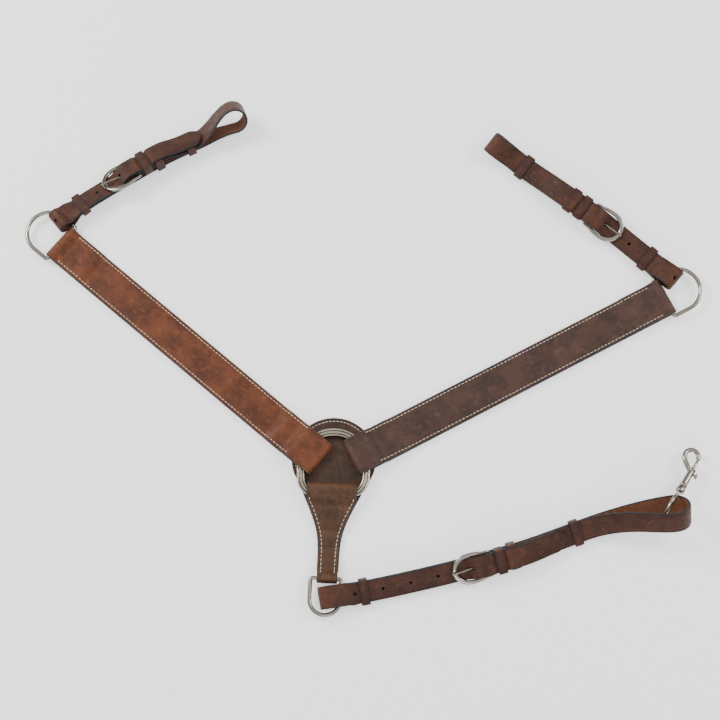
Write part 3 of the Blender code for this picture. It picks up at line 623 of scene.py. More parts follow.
def leather(name, base, dark, light, seed, gloss=0.46):
    """Oiled bridle leather: mottled grain, lighter where bent, inked edges, fuzzy flesh side."""
    n = Nodes(name)
    here = n.place(offset=(seed * 3.1, seed * 1.7, seed))
    mottle = n.ramp(n.noise(here, 34, 5, 0.62), 0.34, 0.68)
    colour = n.mix(mottle, dark, base)
    cloud = n.ramp(n.noise(here, 110, 3, 0.6), 0.52, 0.78, 0.0, 0.5)
    colour = n.mix(cloud, colour, light)
    streaks = n.ramp(n.noise(n.strap_place(55, 520), 1.0, 4, 0.65), 0.45, 0.8, 0.0, 0.38)
    colour = n.mix(streaks, colour, light)
    bent = n.math("MULTIPLY", n.value("bend"), n.ramp(n.noise(here, 210, 3), 0.25, 0.7, 0.08, 0.42))
    colour = n.mix(bent, colour, light)
    pores = n.new("ShaderNodeTexVoronoi", feature="DISTANCE_TO_EDGE")
    pores.inputs["Scale"].default_value = 950
    n.link(here, pores.inputs["Vector"])
    crackle = n.ramp(pores.outputs["Distance"], 0.0, 0.22)
    colour = n.mix(n.ramp(crackle, 0.0, 1.0, 0.30, 0.0), colour, dark)
    rub = n.ramp(n.value("rim"), 0.80, 0.99, 0.0, 0.32)
    colour = n.mix(rub, colour, dark)
    colour = n.mix(n.math("MULTIPLY", n.value("groove"), 0.55), colour, tuple(c * 0.45 for c in dark))
    fibre = n.noise(n.strap_place(150, 900), 1.0, 5, 0.7)
    flesh_colour = n.mix(n.ramp(fibre, 0.3, 0.75), FLESH_DARK, FLESH_LIGHT)
    flesh = n.ramp(n.value("flesh"), 0.72, 0.98)
    colour = n.mix(flesh, colour, flesh_colour)
    inked = n.ramp(n.math("ADD", n.value("edge"), n.math("MULTIPLY", n.noise(here, 240, 3), 0.25)),
                   0.55, 0.95)
    edge_colour = n.mix(n.noise(n.strap_place(90, 0), 1.0, 3), INK_DARK, INK_LIGHT)
    colour = n.mix(inked, colour, edge_colour)
    n.link(colour, n.shader.inputs["Base Color"])
    rough = n.ramp(n.noise(here, 130, 4), 0.25, 0.75, gloss - 0.07, gloss + 0.14)
    rough = n.math("MAXIMUM", rough, n.math("MULTIPLY", flesh, 0.86))
    n.link(rough, n.shader.inputs["Roughness"])
    n.set("Specular IOR Level", 0.20)
    fine = n.noise(here, 2600, 2, 0.6)
    grain = n.math("ADD", n.math("MULTIPLY", crackle, 0.6), n.math("MULTIPLY", fine, 0.4))
    normal = n.bump(grain, 0.55, 0.16 * MM)
    normal = n.bump(fibre, 0.25, 0.25 * MM, normal)
    normal = n.bump(n.noise(here, 190, 4, 0.6), 0.5, 0.5 * MM, normal)
    n.link(normal, n.shader.inputs["Normal"])
    return n.material


def thread_material():
    """Waxed cream thread, twisted, a little soiled."""
    n = Nodes("waxed_thread")
    here = n.place()
    soil = n.ramp(n.noise(here, 70, 3), 0.42, 0.75)
    colour = n.mix(soil, (0.80, 0.72, 0.58), (0.55, 0.42, 0.30))
    twist = n.new("ShaderNodeTexWave", wave_type="BANDS", bands_direction="DIAGONAL")
    twist.inputs["Scale"].default_value = 260
    n.link(here, twist.inputs["Vector"])
    colour = n.mix(n.math("MULTIPLY", twist.outputs["Fac"], 0.25), colour, (0.45, 0.33, 0.22))
    n.link(colour, n.shader.inputs["Base Color"])
    n.set("Roughness", 0.7)
    n.link(n.bump(twist.outputs["Fac"], 0.5, 0.15 * MM), n.shader.inputs["Normal"])
    return n.material


def metal(name, bright, dull, rough, seed):
    """Plated metal: even polish, fine scratches, and a dull film in hollows and patches."""
    n = Nodes(name)
    here = n.place(offset=(seed, seed * 2, 0))
    film = n.ramp(n.noise(here, 60, 4, 0.6), 0.42, 0.78, 0.0, 0.30)
    film = n.math("MAXIMUM", film, n.math("MULTIPLY", n.value("hollow"), 0.85))
    colour = n.mix(film, bright, dull)
    n.link(colour, n.shader.inputs["Base Color"])
    n.set("Metallic", 1.0)
    scratches = n.noise(n.place(offset=(0, seed, 0), scale=(1, 0.16, 0.6)), 2100, 3, 0.7)
    gloss = n.ramp(scratches, 0.35, 0.75, rough - 0.05, rough + 0.10)
    gloss = n.math("ADD", gloss, n.math("MULTIPLY", film, 0.16))
    n.link(gloss, n.shader.inputs["Roughness"])
    pits = n.noise(here, 620, 3, 0.6)
    normal = n.bump(pits, 0.05, 0.12 * MM)
    normal = n.bump(scratches, 0.06, 0.04 * MM, normal)
    n.link(normal, n.shader.inputs["Normal"])
    return n.material


INK_DARK = (0.010, 0.012, 0.016)
INK_LIGHT = (0.030, 0.036, 0.046)
FLESH_DARK = (0.085, 0.034, 0.018)
FLESH_LIGHT = (0.230, 0.095, 0.048)

DROP_GRAIN = leather("drop_hide", (0.086, 0.043, 0.022), (0.042, 0.023, 0.015),
                     (0.190, 0.085, 0.038), 3)
# The backing's colours are set darker, with painted shade from the ring lying over it.
SHADED_BACKING_GRAIN = leather("backing_hide", (0.068, 0.036, 0.022), (0.034, 0.020, 0.015),
                        (0.130, 0.062, 0.034), 7)
LINING_GRAIN = leather("lining_hide", (0.050, 0.030, 0.024), (0.024, 0.017, 0.016),
                       (0.090, 0.050, 0.038), 11, gloss=0.6)
TUG_GRAIN = leather("tug_hide", (0.074, 0.028, 0.017), (0.035, 0.016, 0.012),
                    (0.165, 0.060, 0.030), 13)
KEEPER_GRAIN = leather("keeper_hide", (0.068, 0.027, 0.018), (0.033, 0.016, 0.013),
                       (0.150, 0.056, 0.030), 17)
SHOULDER_GRAIN = {
    "left": leather("left_shoulder_hide", (0.152, 0.046, 0.019), (0.070, 0.023, 0.012),
                    (0.290, 0.094, 0.036), 19, gloss=0.42),
    "right": leather("right_shoulder_hide", (0.078, 0.040, 0.030), (0.040, 0.023, 0.019),
                     (0.140, 0.072, 0.052), 23, gloss=0.44),
}
# Near-black leather for the cut walls of holes and slots: painted shade inside the openings.
HOLE_SHADE = leather("painted_hole_shade", (0.012, 0.008, 0.007), (0.006, 0.005, 0.005),
                  (0.020, 0.012, 0.010), 29, gloss=0.8)
THREAD = thread_material()
# Colours of the dees, buckles and snap, set darker than the ring's plate, as painted shade and dark
# reflection.
NICKEL = metal("nickel_plate", (0.34, 0.31, 0.265), (0.085, 0.07, 0.055), 0.15, 5)
RING_NICKEL = metal("ring_plate", (0.46, 0.415, 0.335), (0.10, 0.083, 0.058), 0.18, 9)


# ---------------------------------------------------------------- thread

def stitch(shape, centre, along, side, up, length):
    """One short raised stitch whose two ends dive into the leather."""
    rows = []
    steps = 6
    sides = 8
    for i in range(steps + 1):
        t = 2 * i / steps - 1
        rise = THREAD_RADIUS * (0.55 - 1.5 * t ** 4)
        radius = THREAD_RADIUS * (1 - 0.25 * t ** 4)
        row = len(shape.verts)
        for k in range(sides):
            angle = 2 * math.pi * k / sides
            offset = side * math.cos(angle) * radius + up * math.sin(angle) * radius
            shape.add(centre + along * (length / 2 * t) + up * rise + offset)
        rows.append(row)
    shape.rings(rows, sides)


def stitch_row(shape, place, start, end):
    """Evenly spaced stitches; place gives point, tangent and outward normal at a distance."""
    count = max(1, round((end - start) / STITCH_PITCH))
    for i in range(count):
        s = start + (end - start) * (i + 0.5) / count
        centre, along, up = place(s)
        side = up.cross(along).normalized()
        drift = 0.10 * noise.noise(Vector((s * 300, start * 90, 3)))
        stitch(shape, centre, (along + side * drift).normalized(), side, up, STITCH_LENGTH)


def strip_row(strip, v, face=1):
    """Place function for a row of stitches on a strip's grain (1) or flesh (-1) face."""
    def place(s):
        point, tangent, _, normal = strip.at(s, v, face * (strip.thick / 2 - THREAD_SINK))
        return point, tangent, normal * face
    return place


# ---------------------------------------------------------------- leather pieces

def shoulder_frame(name):
    """Plan start and unit direction of a shoulder strap's axis."""
    shoulder = SHOULDERS[name]
    along = Vector((math.cos(shoulder["angle"]), math.sin(shoulder["angle"]), 0))
    side = Vector((-along.y, along.x, 0))
    return along * shoulder["inner"] + side * shoulder["offset"], along


def make_shoulder(name):
    """Outer strap folded at both ends, its lining, and two rows of thread on either face."""
    start, along = shoulder_frame(name)
    length = SHOULDERS[name]["length"]
    far = start + along * length
    lay = Lay([(start.x, start.y), (far.x, far.y)])
    first = (OVER_RING_Z - FLAP_Z) / 2 + HIDE / 2
    last = length - (OVER_BAR_Z - FLAP_Z) / 2 - HIDE / 2
    band_end = RING_RADIUS + RING_BAND / 2 - SHOULDERS[name]["inner"] + 4 * MM
    flap_in = band_end + 30 * MM
    path = strand([(flap_in, FLAP_Z), (first, FLAP_Z)])
    path += half_turn(first, FLAP_Z, OVER_RING_Z, -1)
    path += strand([(first, OVER_RING_Z), (band_end, OVER_RING_Z), (band_end + 16 * MM, OVER_FLAP_Z),
                    (flap_in + 2 * MM, OVER_FLAP_Z), (flap_in + 16 * MM, FLAP_Z),
                    (last - SHOULDER_FLAP, FLAP_Z), (last - SHOULDER_FLAP + 14 * MM, OVER_FLAP_Z),
                    (last - 16 * MM, OVER_FLAP_Z), (last, OVER_BAR_Z)])
    path += half_turn(last, OVER_BAR_Z, FLAP_Z, 1)
    path += strand([(last, FLAP_Z), (last - SHOULDER_FLAP + 16 * MM, FLAP_Z)])
    path.reverse()
    half = SHOULDER_WIDTH / 2
    groove = (SHOULDER_INSET, *STITCH_GROOVE)
    outer = Strip(path, lay, HIDE, lambda s, u: half)
    body = name + "_shoulder"
    outer.shape([groove]).build(body + "_outer_hide", SHOULDER_GRAIN[name], body,
                                [body + "_outer"], name + "_shoulder_leather")
    lining_start = BULB_RADIUS + BULB_CENTRE_Y + 1 * MM - SHOULDERS[name]["inner"]
    under_path = strand([(lining_start, HIDE / 2), (last - 1 * MM, HIDE / 2)])
    under = Strip(under_path, lay, HIDE, lambda s, u: half)
    under.shape([groove]).build(body + "_lining_hide", LINING_GRAIN, body, [body + "_lining"],
                                "lining_leather")
    top_end = outer.at_u(last - 12 * MM, outer.at_u(last) + 5 * MM)
    top_start = outer.at_u(band_end + 4 * MM, top_end)
    thread = Shape()
    for sign in (-1, 1):
        v = sign * (half - SHOULDER_INSET)
        stitch_row(thread, strip_row(outer, v), top_end, top_start)
        stitch_row(thread, strip_row(under, v), 3 * MM, under.total - 12 * MM)
    thread.build(body + "_thread", THREAD, body, slot=name + "_shoulder_leather")


def bulb_half(y):
    """Half width of the backing at height y in the drop's own direction."""
    tangent_y = BULB_CENTRE_Y - BULB_RADIUS * math.sin(BULB_SLOPE)
    if y > tangent_y:
        return math.sqrt(max(BULB_RADIUS ** 2 - (y - BULB_CENTRE_Y) ** 2, 0))
    tangent_half = BULB_RADIUS * math.cos(BULB_SLOPE)
    straight = tangent_half - (tangent_y - y) * math.tan(BULB_SLOPE)
    soften = 5 * MM
    return NECK_HALF + soften * math.log1p(math.exp((straight - NECK_HALF) / soften)) * 0.97


def backing_outline():
    """Right side then left side of the backing, clockwise from the top, in its own direction."""
    tangent_y = BULB_CENTRE_Y - BULB_RADIUS * math.sin(BULB_SLOPE)
    right = arc(BULB_RADIUS, 90, -90 - math.degrees(BULB_SLOPE), 44, (0, BULB_CENTRE_Y))
    end_y = DROP_END_Y + 16 * MM
    steps = 30
    for i in range(1, steps + 1):
        y = tangent_y + (end_y + 1.5 * MM - tangent_y) * i / steps
        right.append((bulb_half(y), y))
    right.append((NECK_HALF - 0.5 * MM, end_y + 0.4 * MM))
    right.append((NECK_HALF - 1.8 * MM, end_y))
    return right + [(-x, y) for x, y in reversed(right) if x > MM]


def make_backing():
    """Backing with rounded edges, a stitch groove and thread round its rim on both faces."""
    outline = [Vector((x, y, 0)) for x, y in backing_outline()]
    count = len(outline)
    inward = []
    lengths = [0.0]
    for i, point in enumerate(outline):
        tangent = (outline[(i + 1) % count] - outline[i - 1]).normalized()
        inward.append(Vector((tangent.y, -tangent.x, 0)))
        lengths.append(lengths[-1] + (outline[(i + 1) % count] - point).length)
    lean = Matrix.Rotation(DROP_LEAN, 4, "Z")
    soft = 0.42 * HIDE
    loops = [(inset, 0.0, 1.0, 0.0, 0.0) for inset in (18 * MM, 9 * MM, BACKING_INSET, 2 * MM)]
    for i in range(7):
        angle = math.pi * i / 6 - math.pi / 2
        loops.append((soft * (1 - math.cos(angle)), HIDE / 2 * (1 + math.sin(angle)),
                      0.5, 1.0 if 0 < i < 6 else 0.3, 0.0))
    groove_half, groove_depth = STITCH_GROOVE
    loops += [(2 * MM, HIDE, 0.0, 0.0, 0.0), (BACKING_INSET - groove_half, HIDE, 0.0, 0.0, 0.0),
              (BACKING_INSET, HIDE - groove_depth, 0.0, 0.0, 1.0),
              (BACKING_INSET + groove_half, HIDE, 0.0, 0.0, 0.0),
              (9 * MM, HIDE, 0.0, 0.0, 0.0), (13 * MM, HIDE, 0.0, 0.0, 0.0)]
    shape = Shape()
    rows = []
    for inset, z, flesh, edge, groove in loops:
        rows.append(len(shape.verts))
        for point, normal, s in zip(outline, inward, lengths):
            depth = min(inset, 0.92 * bulb_half(min(point.y, 0.0)))
            place = point + normal * depth + Vector((0, 0, z))
            shape.add(lean @ place, along=s, across=inset, edge=edge, flesh=flesh, groove=groove,
                      rim=1 - inset / BULB_RADIUS)
    shape.rings(rows, count)
    shape.build("center_backing_hide", SHADED_BACKING_GRAIN, "collar", ["center_backing"],
                "backing_leather")
    thread = Shape()
    for z, up in ((HIDE - THREAD_SINK, 1), (THREAD_SINK, -1)):
        def place(s):
            s = s % lengths[count]
            i = max(k for k in range(count) if lengths[k] <= s)
            share = (s - lengths[i]) / (lengths[i + 1] - lengths[i])
            a = outline[i] + inward[i] * BACKING_INSET
            b = outline[(i + 1) % count] + inward[(i + 1) % count] * BACKING_INSET
            point = lean @ (a.lerp(b, share) + Vector((0, 0, z)))
            return point, (lean @ (b - a)).normalized(), Vector((0, 0, up))
        stitch_row(thread, place, 0, lengths[count])
    thread.build("center_backing_thread", THREAD, "collar", slot="backing_leather")


def drop_half(y):
    return min(DROP_HALF, bulb_half(y) - 0.8 * MM)


def make_drop():
    """Front drop strap: folded over the ring's bottom bar above and round the small dee below."""
    top = -DROP_TOP_Y
    end = -DROP_END_Y
    first = top + (DROP_OVER_RING_Z - FLAP_Z) / 2 + HIDE / 2
    last = end - (OVER_BAR_Z - FLAP_Z) / 2 - HIDE / 2
    path = strand([(first + 46 * MM, FLAP_Z), (first, FLAP_Z)])
    path += half_turn(first, FLAP_Z, DROP_OVER_RING_Z, -1)
    path += strand([(first, DROP_OVER_RING_Z), (first + 12 * MM, DROP_OVER_RING_Z),
                    (first + 26 * MM, OVER_FLAP_Z), (first + 47 * MM, OVER_FLAP_Z),
                    (first + 60 * MM, FLAP_Z), (last - 38 * MM, FLAP_Z),
                    (last - 25 * MM, OVER_FLAP_Z), (last - 14 * MM, OVER_FLAP_Z),
                    (last, OVER_BAR_Z)])
    path += half_turn(last, OVER_BAR_Z, FLAP_Z, 1)
    path += strand([(last, FLAP_Z), (last - 24 * MM, FLAP_Z)])
    path.reverse()
    lean = Matrix.Rotation(DROP_LEAN, 4, "Z")
    foot = lean @ Vector((0, DROP_END_Y, 0))
    strip = Strip(path, Lay([(0, 0), (foot.x, foot.y)]), HIDE, lambda s, u: drop_half(-u))
    strip.shape([(DROP_INSET, *STITCH_GROOVE)]).build(
        "drop_front_hide", DROP_GRAIN, "collar", ["drop_front"], "drop_leather")
    low = strip.at_u(last - 6 * MM, strip.at_u(last) + 5 * MM)
    high = strip.at_u(first + 14 * MM, low)
    thread = Shape()
    for sign in (-1, 1):
        def place(s):
            half = drop_half(-strip.u_at(s)) - DROP_INSET
            half_ahead = drop_half(-strip.u_at(s + MM)) - DROP_INSET
            point, _, _, normal = strip.at(s, sign * half, HIDE / 2 - THREAD_SINK)
            step = strip.at(s + MM, sign * half_ahead)[0] - strip.at(s, sign * half)[0]
            return point, step.normalized(), normal
        stitch_row(thread, place, low, high)
    thread.build("drop_front_thread", THREAD, "collar", slot="drop_leather")


# ---------------------------------------------------------------- buckled straps

def tug_lay(tug):
    """The lay of a buckled strap, its lean and lift in metres along it."""
    at_dee, at_buckle, at_loop = tug["roll"]
    keeper_a = tug["keeper_a"] * MM
    keeper_c = tug["keeper_c"] * MM
    wire = tug["wire"] * MM
    roll = ((0, at_dee), (wire, at_dee), (keeper_a - 7 * MM, at_buckle),
            (keeper_c + 10 * MM, at_buckle), (tug["length"] * MM - 25 * MM, at_loop))
    lift = ((0, DEE_LIFT), (wire, DEE_LIFT), (keeper_a - 7 * MM, STRAND_LIFT),
            (keeper_c + 10 * MM, STRAND_LIFT),
            (tug["length"] * MM - 45 * MM, STRAND_LIFT + tug["rise"] * MM))
    axis = [(x * MM, y * MM) for x, y in tug["axis"]]
    return Lay(axis, roll, lift, TUG_WIDTH / 2)


def tug_path(tug):
    """Side profile of a buckled strap, from its tip round the dee and the loop to its chape's end."""
    a = tug["keeper_a"] * MM
    bar = tug["bar"] * MM
    c = tug["keeper_c"] * MM
    tip = tug["tip"] * MM
    wire = tug["wire"] * MM
    dee_u = DEE_LOOP_RADIUS + TUG_HIDE / 2
    dee_top = TUG_BACK_H + 2 * DEE_LOOP_RADIUS
    loop_top = tug["loop_height"] * MM - TUG_HIDE / 2
    loop_u = tug["length"] * MM - (loop_top - TUG_BACK_H) / 2 - TUG_HIDE / 2
    chape_radius = BAR_RADIUS + GAP + TUG_HIDE / 2
    tip_h = BILLET_OVER_C_H if tip > c else BILLET_TIP_H
    tip_end = [(tip, tip_h), (tip - 13 * MM, tip_h)]
    if tip > c:
        tip_end.append((c - 8 * MM, tip_h))
    path = strand(tip_end + [
        (bar + 39 * MM, BILLET_B2_H), (bar + 25.5 * MM, BILLET_B2_H),
        (bar + 20.5 * MM, BILLET_KEEPER_H), (bar + 6.5 * MM, BILLET_KEEPER_H),
        (bar + 1 * MM, BILLET_BAR_H), (bar - 14 * MM, BILLET_BAR_H),
        (bar - 37.5 * MM, TUG_FRONT_H), (a - 8 * MM, TUG_FRONT_H), (wire, OVER_WIRE_H),
        (dee_u, dee_top)])
    path += half_turn(dee_u, dee_top, TUG_BACK_H, -1)
    path += strand([(dee_u, TUG_BACK_H), (loop_u, TUG_BACK_H)])
    path += half_turn(loop_u, TUG_BACK_H, loop_top, 1, steps=24)
    path += strand([(loop_u, loop_top), (c + 11 * MM, TUG_FRONT_H), (c - 13 * MM, TUG_FRONT_H),
                    (bar + 43 * MM, CHAPE_HIGH_H), (bar + 6 * MM, CHAPE_HIGH_H),
                    (bar, HEEL_BAR_H + chape_radius)], steps=8)
    path += half_turn(bar, HEEL_BAR_H + chape_radius, HEEL_BAR_H - chape_radius, -1, steps=12)
    path += strand([(bar, HEEL_BAR_H - chape_radius), (bar + 6 * MM, CHAPE_LOW_H),
                    (bar + 42 * MM, CHAPE_LOW_H)], steps=6)
    return path


def make_tug(name, tug):
    """Buckled strap: one strip, its tip shaped, its holes and the tongue's slots punched through."""
    lay = tug_lay(tug)
    half = TUG_WIDTH / 2

    def half_at(s, u):
        if tug["round_tip"]:
            reach = 17 * MM
            t = min(s / reach, 1.0)
            return 3.5 * MM + (half - 3.5 * MM) * math.sqrt(1 - (1 - t) ** 2)
        t = min(s / (15 * MM), 1.0)
        return 4 * MM + (half - 4 * MM) * t

    strip = Strip(tug_path(tug), lay, TUG_HIDE, half_at)
    item = strip.shape([CREASE]).build(name + "_hide", TUG_GRAIN, name, [name], "tug_leather")
    bar = tug["bar"] * MM
    cutters = []
    # Each hole's punch reaches past the strip into the strand under it; the near-black cut walls
    # there are painted shade seen through the hole.
    for u in tug["holes"]:
        matrix = strip.matrix(strip.at_u(u * MM, 60 * MM))
        cutters.append(punch(matrix, TUG_HIDE + 2 * (GAP + HOLE_SHADE_DEPTH)))
    matrix = strip.matrix(strip.at_u(bar - TONGUE_HOLE))
    cutters.append(punch(matrix, 2.2 * TUG_HIDE, stretch=2.6))
    slot = lay.matrix(bar) @ Matrix.Translation((0.5 * MM, 0, 8.8 * MM))
    cutters.append(punch(slot, 11.2 * MM, stretch=3.2))
    # The cut walls of the holes and slots get near-black leather, as painted shade.
    apply_cuts(item, cutters, HOLE_SHADE)
    return lay


def make_keeper(name, body, lay, u, low, high, clearance):
    """Leather keeper: a creased band bent round the layers from low to high."""
    margin = clearance + KEEPER_HIDE / 2
    v = TUG_WIDTH / 2 + margin
    bottom = low - margin
    top = high + margin
    corner = KEEPER_HIDE / 2 + 0.5 * MM
    path = []
    sides = ((v, top, 0), (-v, top, 90), (-v, bottom, 180), (v, bottom, 270))
    for cv, ch, start in sides:
        centre = (cv - math.copysign(corner, cv), ch - corner if ch == top else ch + corner)
        for nv, nh in arc(1, start, 90, 6):
            path.append((centre[0] + corner * nv, centre[1] + corner * nh, (nv, nh)))
        after = {0: (-1, 0), 90: (0, -1), 180: (1, 0), 270: (0, 1)}[start]
        span = 2 * (v - corner) if after[0] else top - bottom - 2 * corner
        last_v, last_h, _ = path[-1]
        for step in range(1, 6):
            reach = span * step / 6
            path.append((last_v + after[0] * reach, last_h + after[1] * reach, (nv, nh)))
    matrix = lay.matrix(u)
    section = strip_section(KEEPER_WIDTH / 2, KEEPER_HIDE, [(1.7 * MM, 0.4 * MM, 0.14 * MM)])
    shape = Shape()
    rows = []
    travelled = 0.0
    for i, (pv, ph, (nv, nh)) in enumerate(path):
        travelled += math.dist(path[i][:2], path[i - 1][:2]) if i else 0.0
        bulge = 0.25 * MM * smooth(1 - abs(pv) / v) if ph > (top + bottom) / 2 else 0.0
        bend = 0.8 if abs(nv * nh) > 0.1 else 0.0
        rows.append(len(shape.verts))
        for a, w, edge, flesh, groove in section:
            out = w + bulge
            shape.add(matrix @ Vector((a, pv + nv * out, ph + nh * out)), along=travelled, across=a,
                      edge=edge, flesh=flesh, groove=groove, bend=bend,
                      rim=abs(a) / (KEEPER_WIDTH / 2))
    shape.rings(rows, len(section), closed_rows=True)
    shape.build(name + "_band", KEEPER_GRAIN, body, [name], "keeper_leather")


def make_keepers(name, body, lay, tug):
    """Two loose keepers and the two fixed ones beside the buckle."""
    bar = tug["bar"] * MM
    loose = 0.8 * MM
    fixed = 0.5 * MM
    half = TUG_HIDE / 2
    keepers = (
        ("a", name + "_keeper_a", tug["keeper_a"] * MM, 0, TUG_FRONT_H + half, loose),
        ("b", body, bar + 13.5 * MM, CHAPE_LOW_H - half, BILLET_KEEPER_H + half, fixed),
        ("b2", body, bar + 32 * MM, 0, CHAPE_HIGH_H + half, fixed),
        ("c", name + "_keeper_c", tug["keeper_c"] * MM, 0, TUG_FRONT_H + half, loose),
    )
    for letter, rider, u, low, high, clearance in keepers:
        make_keeper(f"{name}_keeper_{letter}", rider, lay, u, low, high, clearance)


# ---------------------------------------------------------------- metal pieces

def round_profile(radius, sides=16, flat=1.0):
    """Round bar section as (across, up, hollow) points."""
    return [(radius * math.cos(2 * math.pi * k / sides),
             radius * flat * math.sin(2 * math.pi * k / sides), 0.0) for k in range(sides)]


def sweep(shape, points, profiles, normal, closed=True):
    """Loft section profiles along a path that lies across normal."""
    count = len(points)
    rows = []
    for i, point in enumerate(points):
        before = points[(i - 1) % count] if closed or i else point
        after = points[(i + 1) % count] if closed or i < count - 1 else point
        outward = (after - before).normalized().cross(normal).normalized()
        rows.append(len(shape.verts))
        for a, b, hollow in profiles[i]:
            shape.add(point + outward * a + normal * b, hollow=hollow)
    shape.rings(rows, len(profiles[0]), closed_rows=closed)


def turned(shape, matrix, base, outline, sides=32):
    """Solid of revolution round the matrix's Z, from base up.

    outline lists (radius, height, hollow) points, the first two in millimetres.
    """
    rows = []
    for radius, height, hollow in outline:
        rows.append(len(shape.verts))
        for k in range(sides):
            angle = 2 * math.pi * k / sides
            point = Vector((radius * MM * math.cos(angle), radius * MM * math.sin(angle),
                            base + height * MM))
            shape.add(matrix @ point, hollow=hollow)
    shape.rings(rows, sides)


def ring_profile(half):
    """Section of the ring's band: a bead along either edge and a lower reeded middle."""
    wide = half / (RING_BAND / 2)
    top = RING_THICK / 2
    bead = 1.25 * MM
    right = [(RING_BAND / 2, -top + 0.9 * MM, 0.0), (RING_BAND / 2, top - bead, 0.0)]
    crest = arc(bead, 0, 180, 7, (RING_BAND / 2 - bead, top - bead))
    right += [(a, b, 0.0) for a, b in crest[1:-1]]
    right += [(2.35 * MM, top - 1.5 * MM, 1.0), (1.9 * MM, top - 1.5 * MM, 1.0),
              (1.5 * MM, top - 0.6 * MM, 0.35), (1.2 * MM, top - 0.35 * MM, 0.2),
              (0.4 * MM, top - 0.35 * MM, 0.25)]
    low = [(-RING_BAND / 2 + 0.9 * MM, -top, 0.0), (RING_BAND / 2 - 0.9 * MM, -top, 0.0)]
    face = right + [(-a, b, hollow) for a, b, hollow in reversed(right)]
    return [(a * wide, b, hollow) for a, b, hollow in face + low]


def make_ring():
    """Centre ring: round above, straight sides, narrower along the bottom bar."""
    plan = arc(RING_RADIUS, 0, 180, 48)
    halves = [RING_BAND / 2] * len(plan)
    corner_x = RING_RADIUS - RING_CORNER
    for side, start in ((-1, 180), (1, 270)):
        corner = arc(RING_CORNER, start, 90, 16, (side * corner_x, -RING_SIDE))
        plan += corner
        halves += [between(((24 * MM, RING_BAR_BAND / 2), (33 * MM, RING_BAND / 2)), abs(x))
                   for x, _ in corner]
    shape = Shape()
    sweep(shape, [Vector((x, y, RING_Z)) for x, y in plan], [ring_profile(half) for half in halves],
          Vector((0, 0, 1)))
    shape.build("center_ring_band", RING_NICKEL, "ring", ["center_ring"], "ring_nickel", sharp=50)


def dee_points(half, side):
    """Centre line of a dee in its own plane: bar on the X axis, bow towards +Y."""
    straight = half - DEE_CORNER
    bar = [(x * straight, 0) for x in (-1, -0.6, -0.2, 0.2, 0.6, 1)]
    corner = arc(DEE_CORNER, -90, 90, 6, (straight, DEE_CORNER))[1:]
    bow = arc(half, 0, 180, 40, (0, side))
    plan = bar + corner + bow + [(-x, y) for x, y in reversed(corner)]
    return [Vector((x, y, 0)) for x, y in plan]


def make_dee(name, joint, half, side, wire, shift):
    """Wire dee; its bar's middle and direction come from the joint it flips about."""
    across = Vector(joint["axis"])
    up = Vector((0, 0, 1))
    along = up.cross(across)
    matrix = rigid(across, along, up, Vector(joint["pos_m"]) + across * shift)
    points = [matrix @ p for p in dee_points(half, side)]
    shape = Shape()
    sweep(shape, points, [round_profile(wire)] * len(points), up)
    shape.build(name + "_wire", NICKEL, name, [name], "nickel_plate")


def frame_profile(half, thick):
    """Buckle frame's section: flat below, domed above with soft shoulders."""
    points = []
    sides = 18
    for k in range(sides):
        angle = 2 * math.pi * k / sides
        c = math.cos(angle)
        s = math.sin(angle)
        square = 0.62
        a = math.copysign(abs(c) ** square, c) * half
        b = math.copysign(abs(s) ** (square if s < 0 else 0.85), s) * thick
        points.append((a, b, 0.0))
    return points


